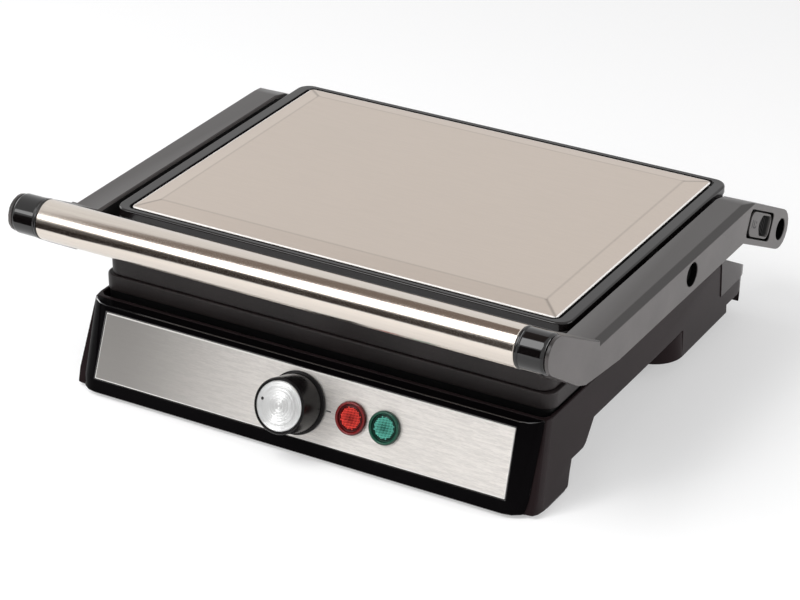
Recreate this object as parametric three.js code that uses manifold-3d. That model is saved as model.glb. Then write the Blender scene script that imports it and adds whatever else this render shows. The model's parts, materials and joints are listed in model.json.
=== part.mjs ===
// Contact grill: a low base with a ribbed plate, and a lid with a second plate that floats between
// two side arms. The arms carry a bar handle in front and swing on two pins behind.
// Millimetres, X to the right, Y to the rear, Z up from the table. Places along Y are counted from
// the middle of the lid, and the last group moves them so that Y is zero in the middle of the whole.
import * as THREE from 'three';
import { mergeVertices } from 'three/addons/utils/BufferGeometryUtils.js';
import Module from 'manifold-3d';

const wasm = await Module();
wasm.setup();

// Clearances and counts
const seat = 0.3;              // gap left between two pieces that touch
const running = 0.08;          // gap round a shaft that turns in its bearing
const overrun = 2;             // how far a cut runs past a face
const cornerSteps = 4;         // straight runs in a quarter round
const arcSteps = 10;           // straight runs in a half round
const roundSides = 24;         // sides of a shaft or disc that shows
const smallSides = 10;         // sides of a screw or stem

// Steel cover of the lid
const coverWidth = 290;
const coverDepth = 208.4;
const coverSheet = 0.9;
const coverBevel = 13;         // sloping border
const coverRise = 2.6;         // height of the middle above the edge
const coverCorner = 3;
const coverGroove = 1.2;       // dark line between cover and ring

// Lid housing
const lidRise = 38.5;          // height of the ring above the seam of the plates
const ringSide = 8.3;          // width of the ring beside the groove
const ringFront = 4.4;
const ringCorner = 9;
const ringBand = 5.6;          // height of the ring's upright side
const ringRound = 0.8;
const ledgeFront = 1.6;        // step in front of the ring
const ledgeFall = 1.2;
const housingFront = 12.4;     // how far the housing stands in front of the ring
const housingSide = 2.2;       // how far its sides stand inside the ring
const housingSlope = 9;
const lidWall = 2.6;
const lidDeck = 2.2;

// Cooking plates
const plateLift = 1.3;         // lower rim above the top of the base
const lowerRim = 10.4;         // height of the lower rim
const upperRim = 11;
const upperPlateInset = 3.1;   // plate inside the ring, at each side
const upperPlateFront = 13.1;  // plate in front of the ring
const upperPlateRear = 3.8;    // plate inside the ring, behind
const lowerPlateSide = 2.5;    // how far the lower plate stands outside the upper one
const lowerPlateFront = 1.4;
const plateCorner = 8;
const plateEdge = 0.8;         // rounded edge at the seam
const edgeStartShare = 0.6;    // run of the lower rim's bottom edge, as a share of that edge
const edgeTurnShare = 0.3;     // place of the middle point of the rounded edge
const plateFloor = 2.8;
const rimWidth = 7;
const lowerRecess = 6;         // depth of the cooking face below the rim
const upperRecess = 6.4;
const lowerRib = 4.4;
const upperRib = 3.9;
const ribFoot = 5.2;
const ribCrest = 2.6;
const ribPitch = 13.2;
const ribEnd = 4;              // ribs stop short of the rim
const skirtInset = 1.6;        // skirt inside the lower plate's edge
const skirtWall = 3;
const skirtSlack = 0.36;       // gap between skirt and pocket
const skirtDepth = 9.4;

// Side arms
const armGap = 4.2;            // black gap between ring and arm
const armWidth = 20.3;
const armProud = 0.8;          // top of the arm above the ring
const armDepth = 24.5;
const armFront = 119;          // front edge of the flat top, ahead of the lid's middle
const armBevelWidth = 3.6;
const armBevelDrop = 3.5;
const armWall = 2.6;
const armOuterWall = 5;
const heelReach = 26.3;        // corners of the cheek, behind the handle's axis
const heelRise = 8;
const jawReach = 36.3;
const jawRise = 4;
const sillReach = 78.3;
const cheekRadius = 11.3;
const cheekPlate = 2.2;        // disc that closes the end of the cap
const channelStart = 34;       // hollow of the arm begins here behind the handle's axis
const panelSheet = 1.6;        // inner cover of the arm
const panelDepth = 0.5;
const coreSheet = 3;           // steel bar inside the arm
const coreMargin = 2;
const coreDepth = 6;

// Handle
const handleReach = 169.3;     // axis of the bar, ahead of the lid's middle
const handleRise = 15.5;       // axis of the bar above the ring
const tubeRadius = 12.2;
const tubeSheet = 1.2;
const capRadius = 12.4;
const capLength = 18;
const capLip = 1.6;            // lip beside the tube
const capDip = 0.3;            // barrel below the lip
const capTurn = 1.4;           // rounded outer edge
const spigotLength = 14;
const rodRadius = 3;

// Main pivot and float pivot
const pivotBehind = 27.2;      // pivot behind the ring
const tableGap = 0.1;          // handle above the table when the lid lies open
const earRadius = 12.8;
const earAngle = 26.5;         // fall of the ear, in degrees
const earBend = 6;             // length of the rounded bend into the ear
const pinRadius = 5;
const bushWall = 2;
const earHoleRadius = 7;
const pinFace = 5;             // end of the pin below the arm's face
const floatReach = 4;          // float pivot behind the lid's middle
const floatDrop = 11.7;        // float pivot below the ring
const floatHoleRadius = 7.5;
const floatHeadRadius = 6.8;
const floatHead = 3;
const floatPinRadius = 4.5;
const floatBushWall = 2;
const floatFlange = 2.2;
const floatInset = 5;          // how far the pin reaches into the lid

// Release slider in the right ear
const windowBefore = 37;       // middle of the window before the pivot
const windowLength = 41;
const windowWidth = 18;
const windowCorner = 3;
const sliderTravel = 3.6;
const sliderSink = 0.8;
const sliderThick = 3.4;
const sliderScoop = 4;
const scoopLength = 16;
const scoopMargin = 1.4;       // rim round the scoop

// Base housing
const baseTop = 54.5;
const baseSide = 3.1;          // base inside the arms' inner faces, at each side
const baseFlare = 4.2;         // how much wider each side is at the table, in front
const rearFlare = 1.3;
const baseTaper = 0.7;         // how much narrower each side is behind
const rearLean = 0.15;         // share of the height by which the rear face leans out
const fasciaInset = 1.1;       // fascia narrower at the table, at each side
const baseAhead = 29.9;        // front face at the top, ahead of the ring
const baseBehind = 36.7;       // rear face behind the ring
const frontLean = 20.3;        // lean of the front, in degrees
const frontCorner = 14;
const rearCorner = 15;
const topEdge = 0.8;           // rounded upper edge
const tableRelief = 0.8;       // shell above the table, where the pads stand out
const tuckDepth = 10;          // front rolls under near the table
const tuckHeight = 11;
const tuckStartShare = 1 / 8;  // second level of the roll, as a share of its height
const tuckStepShares = [0.62, 0.18];
const sideTuck = 1;
const sideTuckHeight = 2.6;
const baseWall = 3;
const topFall = 0.3;           // top edge falls toward the rear
const hoodAngle = 28.5;        // fall of the rear hood, in degrees
const hoodStart = 7.9;         // hood begins ahead of the ring's rear edge
const hoodFoot = 28.2;
const hoodProud = 0.6;         // hood stands outside the walls

// Underside of the base, in places from the ring's front and rear edges
const toeLength = 28.5;        // foot of the front, measured from the front face at the top
const toeSlopeRun = 3;
const toeSlopeRise = 2.6;
const toeLean = 5.4;           // rear face of the toe leans back as it rises
const ledgeHeight = 17.7;
const ledgeRun = 14.5;
const archHeight = 30.4;
const archBend = 4.6;          // rounded foot of the arch
const archRun = 15.5;
const legFront = 84;           // rear legs begin this far ahead of the ring's rear edge
const legHeight = 12.2;
const legRound = 20;
const notchStart = 3;          // notch behind the ring's rear edge
const notchRun = 22;
const notchHeight = 17.6;
const heelFoot = 10;

// Pocket for the lower plate
const pocketSide = 2.4;        // pocket inside the base's sides
const pocketFrontWall = 2.5;
const pocketRear = 10.9;       // pocket ends ahead of the ring's rear edge
const pocketCorner = 5;
const pocketDepth = 10.5;
const pocketFloor = 2.5;
const windowRim = 25;          // shelf around the opening in the pocket's floor
const panSheet = 1;
const panDepth = 9;
const panFlange = 12;

// Front
const fasciaDepth = 7.2;
const fasciaWall = 3.6;
const steelWidth = 281.2;
const steelHeight = 41.5;
const steelFlare = 1.1;        // half the panel's extra width at its foot
const steelSheet = 1.2;
const steelCentre = 20.3;      // middle of the panel below the upper end of the lean
const leanTop = 4.5;           // lean begins this far below the top

// Knob and lamps
const knobRadius = 16.8;
const knobFlare = 0.8;
const knobHeight = 22;
const knobSkirtRadius = 19;
const knobSkirt = 1.8;
const knobEdge = 0.8;
const knobGap = 0.5;
const knobDiscRadius = 15;
const knobDiscSheet = 1.1;
const shaftRadius = 3;
const shaftHole = 4.6;
const shaftInKnob = 14;
const thermostatWidth = 34;
const thermostatHeight = 26;
const thermostatDepth = 16;
const thermostatBack = 16;     // face of the thermostat behind the panel
const bracketSheet = 1.2;
const bracketWidth = 60;
const lampRadius = 10.2;
const lampFace = 6.6;
const lampDome = 2.6;
const lampDip = 0.9;
const lampStemRadius = 7.6;
const lampStem = 9;
const lampHolder = 13;
const redLampAt = 36.7;
const greenLampAt = 59.2;

// Heating elements
const elementRadius = 3.4;
const elementSides = 7;
const elementSteps = 32;
const elementInset = 26;       // element inside the plate's edge
const elementBend = 30;
const elementGap = 46;         // gap between the two ends of the loop

// Hinge brackets
const bracketOuter = 142;
const bracketThick = 12;
const bracketRadius = 11.5;
const bracketFootAhead = 11;
const bracketFootBehind = 3;
const bracketWaist = 33.4;     // height above the table where the post leans back

// Feet, covers, screws and inlet
const padRadius = 9;
const padHeight = 1.7;
const padStemRadius = 4;
const padStem = 4;
const frontPadSide = 28;       // pads inside the base's side
const frontPadBack = 13;       // front pads behind the front face at the top
const rearPadSide = 24;
const rearPadAhead = 14;       // rear pads ahead of the ring's rear edge
const coverSheetBelow = 1.2;
const hatchWidth = 236;
const hatchDepth = 84;
const hatchLap = 8;
const screwHead = 3.8;
const screwHeadHeight = 2;
const screwShank = 1.8;
const screwReach = 4.5;
const terminalWidth = 40;
const terminalDepth = 16;
const terminalHeight = 12;
const glandAt = -60;
const glandHeight = 25.4;
const glandRadius = 5.4;
const glandFlangeRadius = 7.2;
const glandFlange = 2.2;
const glandBore = 3.2;
const bufferRadius = 2.3;
const bufferStand = 2.6;
const bufferSide = 8;          // buffers inside the base's sides
const bufferBehind = 12.2;     // behind the ring's rear edge

// Places worked out from the sizes above
const ringHalf = coverWidth / 2 + coverGroove + ringSide;
const ringReach = coverDepth / 2 + coverGroove + ringFront;
const armInner = ringHalf + armGap;
const armOuter = armInner + armWidth;
const lowerBottom = baseTop + plateLift;
const seamHeight = lowerBottom + lowerRim;
const lidTop = seamHeight + lidRise;
const armTop = lidTop + armProud;
const armBottom = armTop - armDepth;
const handle = { y: -handleReach, z: lidTop + handleRise };
const pivot = { y: ringReach + pivotBehind, z: (handle.z + capRadius + tableGap) / 2 };
const floatPivot = { y: floatReach, z: lidTop - floatDrop };
const capInner = armOuter - cheekPlate - seat - capLength;
const upperHalf = ringHalf - upperPlateInset;
const upperFront = -ringReach - upperPlateFront;
const upperRear = ringReach - upperPlateRear;
const upperBottom = seamHeight + seat;
const lowerHalf = upperHalf + lowerPlateSide;
const lowerFront = upperFront - lowerPlateFront;
const housingBottom = upperBottom + upperRim + seat;
const baseHalf = armInner - baseSide;
const lean = THREE.MathUtils.degToRad(frontLean);
const leanZ = baseTop - leanTop;
const leanY = -ringReach - baseAhead - Math.tan(lean) * leanTop;
const frontAt = (z) => leanY - (leanZ - z) * Math.tan(lean);
const baseRear = ringReach + baseBehind;
const pocketBottom = baseTop - pocketDepth;
const cavityTop = pocketBottom - pocketFloor;
const bellyFloor = archHeight + baseWall;
const pocketHalf = baseHalf - pocketSide;
const pocketEnd = ringReach - pocketRear;
const frameShift = (handleReach + capRadius - pivot.y - earRadius) / 2;

// Solids: three.js makes the shapes, manifold-3d joins and cuts them
function toSolid(geometry, matrix = new THREE.Matrix4()) {
  const bare = geometry.clone().applyMatrix4(matrix);
  bare.deleteAttribute('normal');
  bare.deleteAttribute('uv');
  const merged = mergeVertices(bare, 1e-4);
  return new wasm.Manifold(new wasm.Mesh({
    numProp: 3,
    vertProperties: new Float32Array(merged.attributes.position.array),
    triVerts: new Uint32Array(merged.index.array),
  }));
}

function toGeometry(solid) {
  const mesh = solid.getMesh();
  const geometry = new THREE.BufferGeometry();
  geometry.setAttribute('position', new THREE.BufferAttribute(mesh.vertProperties, 3));
  geometry.setIndex(new THREE.BufferAttribute(mesh.triVerts, 1));
  geometry.computeVertexNormals();
  return geometry;
}

const toShape = (points) => new THREE.Shape(points.map(([x, y]) => new THREE.Vector2(x, y)));

function prism(points, low, high, basis) {
  const depth = high - low;
  const geometry = new THREE.ExtrudeGeometry(toShape(points), { depth, bevelEnabled: false });
  geometry.translate(0, 0, low);
  return toSolid(geometry, basis);
}

const axisX = new THREE.Vector3(1, 0, 0);
const axisY = new THREE.Vector3(0, 1, 0);
const axisZ = new THREE.Vector3(0, 0, 1);
const alongX = new THREE.Matrix4().makeBasis(axisY, axisZ, axisX);
const alongY = new THREE.Matrix4().makeBasis(axisX, axisZ, axisY.clone().negate());
const alongZ = new THREE.Matrix4();

// Outline of [y, z] points, from x = a to x = b
const prismX = (points, a, b) => prism(points, Math.min(a, b), Math.max(a, b), alongX);
// Outline of [x, z] points, from y = a to y = b
const prismY = (points, a, b) => prism(points, -b, -a, alongY);
// Outline of [x, y] points, from z = a to z = b
const prismZ = (points, a, b) => prism(points, a, b, alongZ);

function block(x0, x1, y0, y1, z0, z1) {
  const geometry = new THREE.BoxGeometry(Math.abs(x1 - x0), y1 - y0, z1 - z0);
  geometry.translate((x0 + x1) / 2, (y0 + y1) / 2, (z0 + z1) / 2);
  return toSolid(geometry);
}

function arc(cx, cy, radius, from, to, steps) {
  return Array.from({ length: steps + 1 }, (_, i) => {
    const angle = from + (to - from) * i / steps;
    return [cx + radius * Math.cos(angle), cy + radius * Math.sin(angle)];
  });
}

function roundedRect(half, front, rear, frontRadius, rearRadius = frontRadius, halfRear = half) {
  const quarter = Math.PI / 2;
  return [
    ...arc(halfRear - rearRadius, rear - rearRadius, rearRadius, 0, quarter, cornerSteps),
    ...arc(rearRadius - halfRear, rear - rearRadius, rearRadius, quarter, 2 * quarter, cornerSteps),
    ...arc(frontRadius - half, front + frontRadius, frontRadius, 2 * quarter, 3 * quarter, cornerSteps),
    ...arc(half - frontRadius, front + frontRadius, frontRadius, 3 * quarter, 4 * quarter, cornerSteps),
  ];
}

// Closed body through level outlines that have the same number of points, lowest first
function loft(levels) {
  const count = levels[0].points.length;
  const position = levels.flatMap(({ z, points }) => points.flatMap(([x, y]) => [x, y, z]));
  const index = [];
  for (let level = 0; level + 1 < levels.length; level += 1) {
    for (let i = 0; i < count; i += 1) {
      const a = level * count + i;
      const b = level * count + (i + 1) % count;
      index.push(a, b, b + count, a, b + count, a + count);
    }
  }
  const last = (levels.length - 1) * count;
  for (let i = 1; i + 1 < count; i += 1) {
    index.push(0, i + 1, i);
    index.push(last, last + i, last + i + 1);
  }
  const geometry = new THREE.BufferGeometry();
  geometry.setAttribute('position', new THREE.Float32BufferAttribute(position, 3));
  geometry.setIndex(index);
  return toSolid(geometry);
}

// Turned piece: [radius, height] points that start and end on the axis, or close on themselves
function turned(profile, sides = roundSides, matrix = new THREE.Matrix4()) {
  const points = profile.map(([radius, height]) => new THREE.Vector2(radius, height));
  const upright = new THREE.Matrix4().makeRotationX(Math.PI / 2);
  return toSolid(new THREE.LatheGeometry(points, sides), matrix.clone().multiply(upright));
}

const turnToX = new THREE.Matrix4().makeBasis(axisY, axisZ, axisX);
const turnToY = new THREE.Matrix4().makeBasis(axisZ, axisX, axisY);

// Turned piece along X at a given place; heights of the profile run toward the side given
function turnedX(profile, at, side = 1, sides = roundSides) {
  const matrix = new THREE.Matrix4().makeTranslation(0, at.y, at.z);
  matrix.multiply(turnToX);
  if (side < 0) matrix.multiply(new THREE.Matrix4().makeRotationX(Math.PI));
  return turned(profile, sides, matrix);
}

const rod = (radius, low, high) => [[0, low], [radius, low], [radius, high], [0, high]];
const sleeve = (inner, outer, low, high) => [
  [inner, low], [outer, low], [outer, high], [inner, high], [inner, low],
];
const rodX = (radius, a, b, at, sides = roundSides) => (
  turnedX(rod(radius, Math.min(a, b), Math.max(a, b)), at, 1, sides));
const rodZ = (radius, low, high, x, y, sides = smallSides) => (
  turned(rod(radius, low, high), sides, new THREE.Matrix4().makeTranslation(x, y, 0)));

const subtractAll = (solid, cuts) => cuts.reduce((left, cut) => left.subtract(cut), solid);
const addAll = (solids) => solids.reduce((left, next) => left.add(next));

// Finishes, as the photo shows them
const finish = (color, roughness, metalness = 0) => ({ color, roughness, metalness });
const finishes = {
  glossBlack: finish(0x0b0a0b, 0.12),
  armPlastic: finish(0x5f5b5a, 0.3),
  basePlastic: finish(0x403a3a, 0.34),
  innerPlastic: finish(0x1d1c1d, 0.6),
  satinSteel: finish(0xc6bcb4, 0.34, 1),
  brushedSteel: finish(0xbeb6b0, 0.4, 1),
  polishedSteel: finish(0xd8d0c8, 0.18, 1),
  sheetSteel: finish(0x9a9a9c, 0.45, 1),
  spunAluminium: finish(0xe2e3e3, 0.3, 1),
  nonStick: finish(0x2d2628, 0.55, 0.2),
  element: finish(0x4a4543, 0.5, 0.8),
  rubber: finish(0x171616, 0.85),
  redLens: finish(0xa01f22, 0.15),
  greenLens: finish(0x0f6a4c, 0.15),
  sliderPlastic: finish(0x8b8785, 0.35),
  ceramic: finish(0xd9d2c4, 0.6),
};

const whole = new THREE.Group();
whole.position.y = frameShift;
const grill = new THREE.Group();
whole.add(grill);

function piece(name, solid, finishName, parent = grill) {
  const mesh = new THREE.Mesh(toGeometry(solid), new THREE.MeshStandardMaterial(finishes[finishName]));
  mesh.name = name;
  parent.add(mesh);
  return mesh;
}

const sides = [['left', -1], ['right', 1]];

// Frame of the leaning front: its origin is the knob's axis on the panel's face, its X is the
// grill's X, its Y runs up the panel and its Z points out of the panel
const front = new THREE.Group();
front.rotation.x = Math.PI / 2 - lean;
front.position.set(0, frontAt(leanZ - steelCentre * Math.cos(lean)), leanZ - steelCentre * Math.cos(lean));
front.updateMatrix();
grill.add(front);
const frontPrism = (points, low, high) => prism(points, low, high, front.matrix);
const frontRod = (radius, low, high, x) => (
  turned(rod(radius, low, high), roundSides, front.matrix.clone().multiply(
    new THREE.Matrix4().makeTranslation(x, 0, 0))));

// Outer form of the base, before it is split into housing, fascia and hood
function baseForm(extra = 0, flare = baseFlare) {
  const below = (z) => (baseTop - z) / baseTop;
  const level = (z, tuckSide, tuckFront) => ({
    z,
    points: roundedRect(baseHalf + flare * below(z) - tuckSide + extra, frontAt(z) + tuckFront - extra,
      baseRear + rearLean * (z - hoodFoot) - tuckSide + extra, frontCorner, rearCorner,
      baseHalf - baseTaper + rearFlare * below(z) - tuckSide + extra),
  });
  const topTuck = topEdge * (1 - Math.SQRT1_2);
  return loft([
    level(tableRelief, sideTuck, tuckDepth),
    level(tableRelief + tuckHeight * tuckStartShare, sideTuck / 2, tuckDepth * tuckStepShares[0]),
    level(sideTuckHeight, 0, tuckDepth * tuckStepShares[1]),
    level(tuckHeight, 0, 0),
    level(baseTop - topEdge, 0, 0),
    level(baseTop - topTuck, topTuck, topTuck),
    level(baseTop, topEdge, topEdge),
  ]);
}

// Side outline of the base: toe, ledge, arch, rear leg, notch, heel, rear face, hood and top
const hood = THREE.MathUtils.degToRad(hoodAngle);
const baseFront = frontAt(0) - overrun;
const toeEnd = leanY + toeLength - leanTop * Math.tan(lean);
const ledgeStart = toeEnd + toeSlopeRun + toeLean;
const archFront = ledgeStart + ledgeRun + archRun;
const legStart = ringReach - legFront;
const notchAt = ringReach + notchStart;
const heelAt = notchAt + notchRun;
const hoodAt = ringReach - hoodStart;
const hoodTop = baseTop - topFall;
const hoodHeightAt = (y) => hoodTop - (y - hoodAt) * Math.tan(hood);
const underside = [
  [baseFront, tableRelief],
  [toeEnd, tableRelief],
  [toeEnd + toeSlopeRun, tableRelief + toeSlopeRise],
  [ledgeStart, ledgeHeight],
  [ledgeStart + ledgeRun, ledgeHeight],
  [ledgeStart + ledgeRun + archBend, ledgeHeight + archBend / 2],
  [archFront, archHeight],
  [legStart, archHeight],
  [legStart, legHeight],
  [notchAt, legHeight],
  [notchAt, notchHeight],
  [heelAt, notchHeight],
  [heelAt, heelFoot],
  [baseRear + overrun, heelFoot],
];
const baseOutline = [
  ...underside,
  [baseRear + overrun, hoodHeightAt(baseRear + overrun)],
  [hoodAt, hoodTop],
  [baseFront, baseTop],
];

// Half width of the base at a place along Y and a height
function sideAt(y, z) {
  const flareLeft = (baseTop - z) / baseTop;
  const along = (y - frontAt(z)) / (baseRear + rearLean * (z - hoodFoot) - frontAt(z));
  const wide = baseHalf + baseFlare * flareLeft;
  return wide + (baseHalf - baseTaper + rearFlare * flareLeft - wide) * along;
}

// The rear legs are rounded in plan, by cylinders that lean with the sides
function legCorners() {
  const middle = legStart + legRound;
  const leanOut = (sideAt(middle, archHeight) - sideAt(middle, 0)) / archHeight;
  return sides.map(([, side]) => {
    const edge = side * (baseHalf + baseFlare + overrun);
    const centre = side * (sideAt(middle, 0) - legRound);
    const cut = block(Math.min(centre, edge), Math.max(centre, edge), legStart - overrun, middle,
      -overrun, archHeight);
    const leaning = new THREE.Matrix4().makeTranslation(centre, middle, 0).multiply(
      new THREE.Matrix4().makeShear(0, 0, 0, 0, side * leanOut, 0));
    return cut.subtract(turned(rod(legRound, -2 * overrun, archHeight + overrun), 4 * arcSteps, leaning));
  });
}

// Hollow of the base, open into the pocket above and the hatch below
function baseHollow() {
  const wallFront = (z) => frontAt(z) + (fasciaDepth + seat + baseWall) / Math.cos(lean);
  const legInside = legStart + legRound + baseWall;
  const outline = [
    [wallFront(tableRelief + baseWall), tableRelief + baseWall],
    [toeEnd - baseWall, tableRelief + baseWall],
    [toeEnd + toeSlopeRun - baseWall, tableRelief + baseWall + toeSlopeRise],
    [ledgeStart - baseWall, ledgeHeight + baseWall],
    [ledgeStart + ledgeRun - baseWall / 2, ledgeHeight + baseWall],
    [archFront - baseWall, bellyFloor],
    [legInside, bellyFloor],
    [legInside, legHeight + baseWall],
    [notchAt - baseWall, legHeight + baseWall],
    [notchAt - baseWall, notchHeight + baseWall],
    [baseRear - baseWall, notchHeight + baseWall],
    [baseRear - baseWall, hoodFoot],
    [hoodAt, hoodFoot],
    [hoodAt, cavityTop],
    [wallFront(cavityTop), cavityTop],
  ];
  const plan = roundedRect(baseHalf - baseWall, frontAt(0) - overrun, baseRear - baseWall,
    frontCorner - baseWall, rearCorner - baseWall);
  return prismX(outline, -baseHalf, baseHalf).intersect(prismZ(plan, -overrun, baseTop));
}

// Panel outline in the front frame, grown by a margin
const steelOutline = (margin) => [
  [-steelWidth / 2 - steelFlare / 2 - margin, -steelHeight / 2 - margin],
  [steelWidth / 2 + steelFlare / 2 + margin, -steelHeight / 2 - margin],
  [steelWidth / 2 - steelFlare / 2 + margin, steelHeight / 2 + margin],
  [-steelWidth / 2 + steelFlare / 2 - margin, steelHeight / 2 + margin],
];
const frontBox = (low, high) => frontPrism([
  [-armOuter, -baseTop],
  [armOuter, -baseTop],
  [armOuter, baseTop],
  [-armOuter, baseTop],
], low, high);
const frontHoles = (margin) => [
  frontRod(shaftHole + margin, -fasciaDepth * 3, overrun, 0),
  frontRod(lampStemRadius + seat + margin, -fasciaDepth * 3, overrun, redLampAt),
  frontRod(lampStemRadius + seat + margin, -fasciaDepth * 3, overrun, greenLampAt),
];

const form = baseForm().intersect(prismX(baseOutline, -armOuter, armOuter));
const legged = subtractAll(form, legCorners());
const hoodBlock = block(-armOuter, armOuter, hoodAt, baseRear + 2 * overrun, hoodFoot, baseTop + overrun);
const postOuter = bracketOuter + seat;
const postInner = bracketOuter - bracketThick - seat;
const postSlot = (side) => block(Math.min(side * postInner, side * postOuter),
  Math.max(side * postInner, side * postOuter), pivot.y - bracketRadius - seat,
  pivot.y + bracketFootBehind + seat, hoodFoot - overrun, baseTop + overrun);
const padPlaces = sides.flatMap(([name, side]) => [
  { name: `front_${name}`, x: side * (baseHalf - frontPadSide), y: leanY + frontPadBack, rise: 0 },
  { name: `rear_${name}`, x: side * (baseHalf - rearPadSide), y: ringReach - rearPadAhead,
    rise: legHeight - tableRelief },
]);
const hatchMiddle = (archFront + legStart) / 2;
const screwPlaces = sides.flatMap(([name, side]) => [-1, 1].map((end) => ({
  name: `${end < 0 ? 'front' : 'rear'}_${name}`,
  x: side * (hatchWidth / 2 + hatchLap / 2),
  y: hatchMiddle + end * hatchDepth / 3,
})));
const glandPlace = new THREE.Matrix4().makeTranslation(glandAt, 0, glandHeight).multiply(turnToY);
const glandFace = baseRear + hoodProud + seat;
const glandHole = turned(rod(glandRadius + seat, heelAt, baseRear + overrun), roundSides, glandPlace);

// Base housing
const pocketFront = frontAt(baseTop) + (fasciaDepth + seat) / Math.cos(lean) + pocketFrontWall;
piece('base_housing', subtractAll(legged, [
  frontBox(-fasciaDepth - seat, baseTop),
  hoodBlock,
  baseHollow(),
  prismZ(roundedRect(pocketHalf, pocketFront, pocketEnd, pocketCorner), pocketBottom, baseTop + overrun),
  block(windowRim - pocketHalf, pocketHalf - windowRim, pocketFront + windowRim + overrun,
    pocketEnd - windowRim, cavityTop - overrun, pocketBottom + overrun),
  block(-hatchWidth / 2 + hatchLap, hatchWidth / 2 - hatchLap, hatchMiddle - hatchDepth / 2 + hatchLap,
    hatchMiddle + hatchDepth / 2 - hatchLap, archHeight - overrun, bellyFloor + overrun),
  ...frontHoles(seat),
  ...padPlaces.map((pad) => rodZ(padStemRadius + seat, -overrun, pad.rise + 2 * padStem, pad.x, pad.y)),
  ...padPlaces.filter((pad) => pad.rise === 0).map((pad) => (
    rodZ(padRadius + seat, -overrun, padHeight + seat, pad.x, pad.y, roundSides))),
  ...screwPlaces.map((screw) => rodZ(screwShank + seat, archHeight - overrun, bellyFloor + overrun,
    screw.x, screw.y)),
  glandHole,
]), 'basePlastic');

// Hood over the hinge posts
const hoodHollow = hoodAt + (hoodTop - hoodFoot - 2 * baseWall) / Math.tan(hood);
const hoodShell = prismX([
  [hoodAt - overrun, hoodFoot - overrun],
  [hoodHollow, hoodFoot - overrun],
  [hoodHollow, hoodHeightAt(hoodHollow) - baseWall],
  [hoodAt - overrun, hoodHeightAt(hoodAt - overrun) - baseWall],
], baseWall - baseHalf, baseHalf - baseWall);
const hoodOutside = baseForm(hoodProud).intersect(prismX([
  [hoodAt + seat, hoodFoot + seat],
  [baseRear + overrun, hoodFoot + seat],
  [baseRear + overrun, hoodHeightAt(baseRear + overrun) + hoodProud],
  [hoodAt + seat, hoodHeightAt(hoodAt) + hoodProud],
], -armOuter, armOuter));
const bufferPlaces = sides.map(([name, side]) => ({
  name, x: side * (baseHalf - bufferSide), y: ringReach + bufferBehind,
}));
piece('rear_hood', subtractAll(hoodOutside, [
  hoodShell,
  ...sides.map(([, side]) => postSlot(side)),
  ...bufferPlaces.map(({ x, y }) => rodZ(bufferRadius + seat, hoodFoot, baseTop, x, y)),
  glandHole,
]), 'basePlastic');
for (const { name, x, y } of bufferPlaces) {
  const top = hoodHeightAt(y) + hoodProud + bufferStand;
  piece(`buffer_${name}`, rodZ(bufferRadius, top - 3 * bufferStand, top, x, y), 'rubber');
}

// Bottom cover with its screws
const coverLow = archHeight - seat - coverSheetBelow;
piece('bottom_cover', subtractAll(
  block(-hatchWidth / 2 - hatchLap, hatchWidth / 2 + hatchLap, hatchMiddle - hatchDepth / 2,
    hatchMiddle + hatchDepth / 2, coverLow, archHeight - seat),
  screwPlaces.map(({ x, y }) => rodZ(screwShank + seat, coverLow - overrun, archHeight, x, y)),
), 'sheetSteel');
for (const { name, x, y } of screwPlaces) {
  const neck = coverLow - seat;
  const head = rodZ(screwHead, neck - screwHeadHeight, neck, x, y);
  piece(`cover_screw_${name}`, head.add(rodZ(screwShank, neck - screwHeadHeight / 2,
    neck + screwReach, x, y)), 'sheetSteel');
}

// Feet
for (const { name, x, y, rise } of padPlaces) {
  const foot = rodZ(padRadius, 0, rise > 0 ? rise + tableRelief - seat : padHeight, x, y, roundSides);
  const stem = rodZ(padStemRadius, padHeight / 2, rise + padHeight + padStem, x, y);
  piece(`foot_${name}`, foot.add(stem), 'rubber');
}

// Fascia and steel panel
const recess = frontPrism(steelOutline(seat), -steelSheet - seat, baseTop);
const fasciaHollow = frontPrism([
  [-steelWidth / 2, -steelHeight / 2],
  [steelWidth / 2, -steelHeight / 2],
  [steelWidth / 2, steelHeight / 2],
  [-steelWidth / 2, steelHeight / 2],
], -fasciaDepth - overrun, -fasciaWall - steelSheet);
piece('front_fascia', subtractAll(baseForm(0, -fasciaInset).intersect(frontBox(-fasciaDepth, baseTop)), [
  recess,
  fasciaHollow,
  block(-armOuter, armOuter, leanY - baseTop, leanY + baseTop, -overrun, tableRelief),
  ...frontHoles(0),
]), 'glossBlack');
const inFront = new THREE.Matrix4();
const panelHole = (radius, x) => turned(rod(radius, -steelSheet - overrun, overrun), roundSides,
  new THREE.Matrix4().makeTranslation(x, 0, 0));
piece('control_panel', subtractAll(prism(steelOutline(0), -steelSheet, 0, inFront), [
  panelHole(shaftHole, 0),
  panelHole(lampStemRadius + seat, redLampAt),
  panelHole(lampStemRadius + seat, greenLampAt),
]), 'brushedSteel', front);

// Indicator lamps
const lensProfile = [
  [0, -lampStem],
  [lampStemRadius, -lampStem],
  [lampStemRadius, seat],
  [lampRadius, seat],
  [lampRadius, seat + lampDome / 3],
  [(lampRadius + lampFace) / 2, lampDome],
  [lampFace, lampDome - lampDip],
  [0, lampDome - lampDip / 2],
];
for (const [name, x, colour] of [['red', redLampAt, 'redLens'], ['green', greenLampAt, 'greenLens']]) {
  const at = new THREE.Matrix4().makeTranslation(x, 0, 0);
  piece(`${name}_lamp_lens`, turned(lensProfile, roundSides, at), colour, front);
  piece(`${name}_lamp_holder`, turned(rod(lampStemRadius, -lampStem - seat - lampHolder, -lampStem - seat),
    roundSides, at), 'innerPlastic', front);
}

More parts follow.
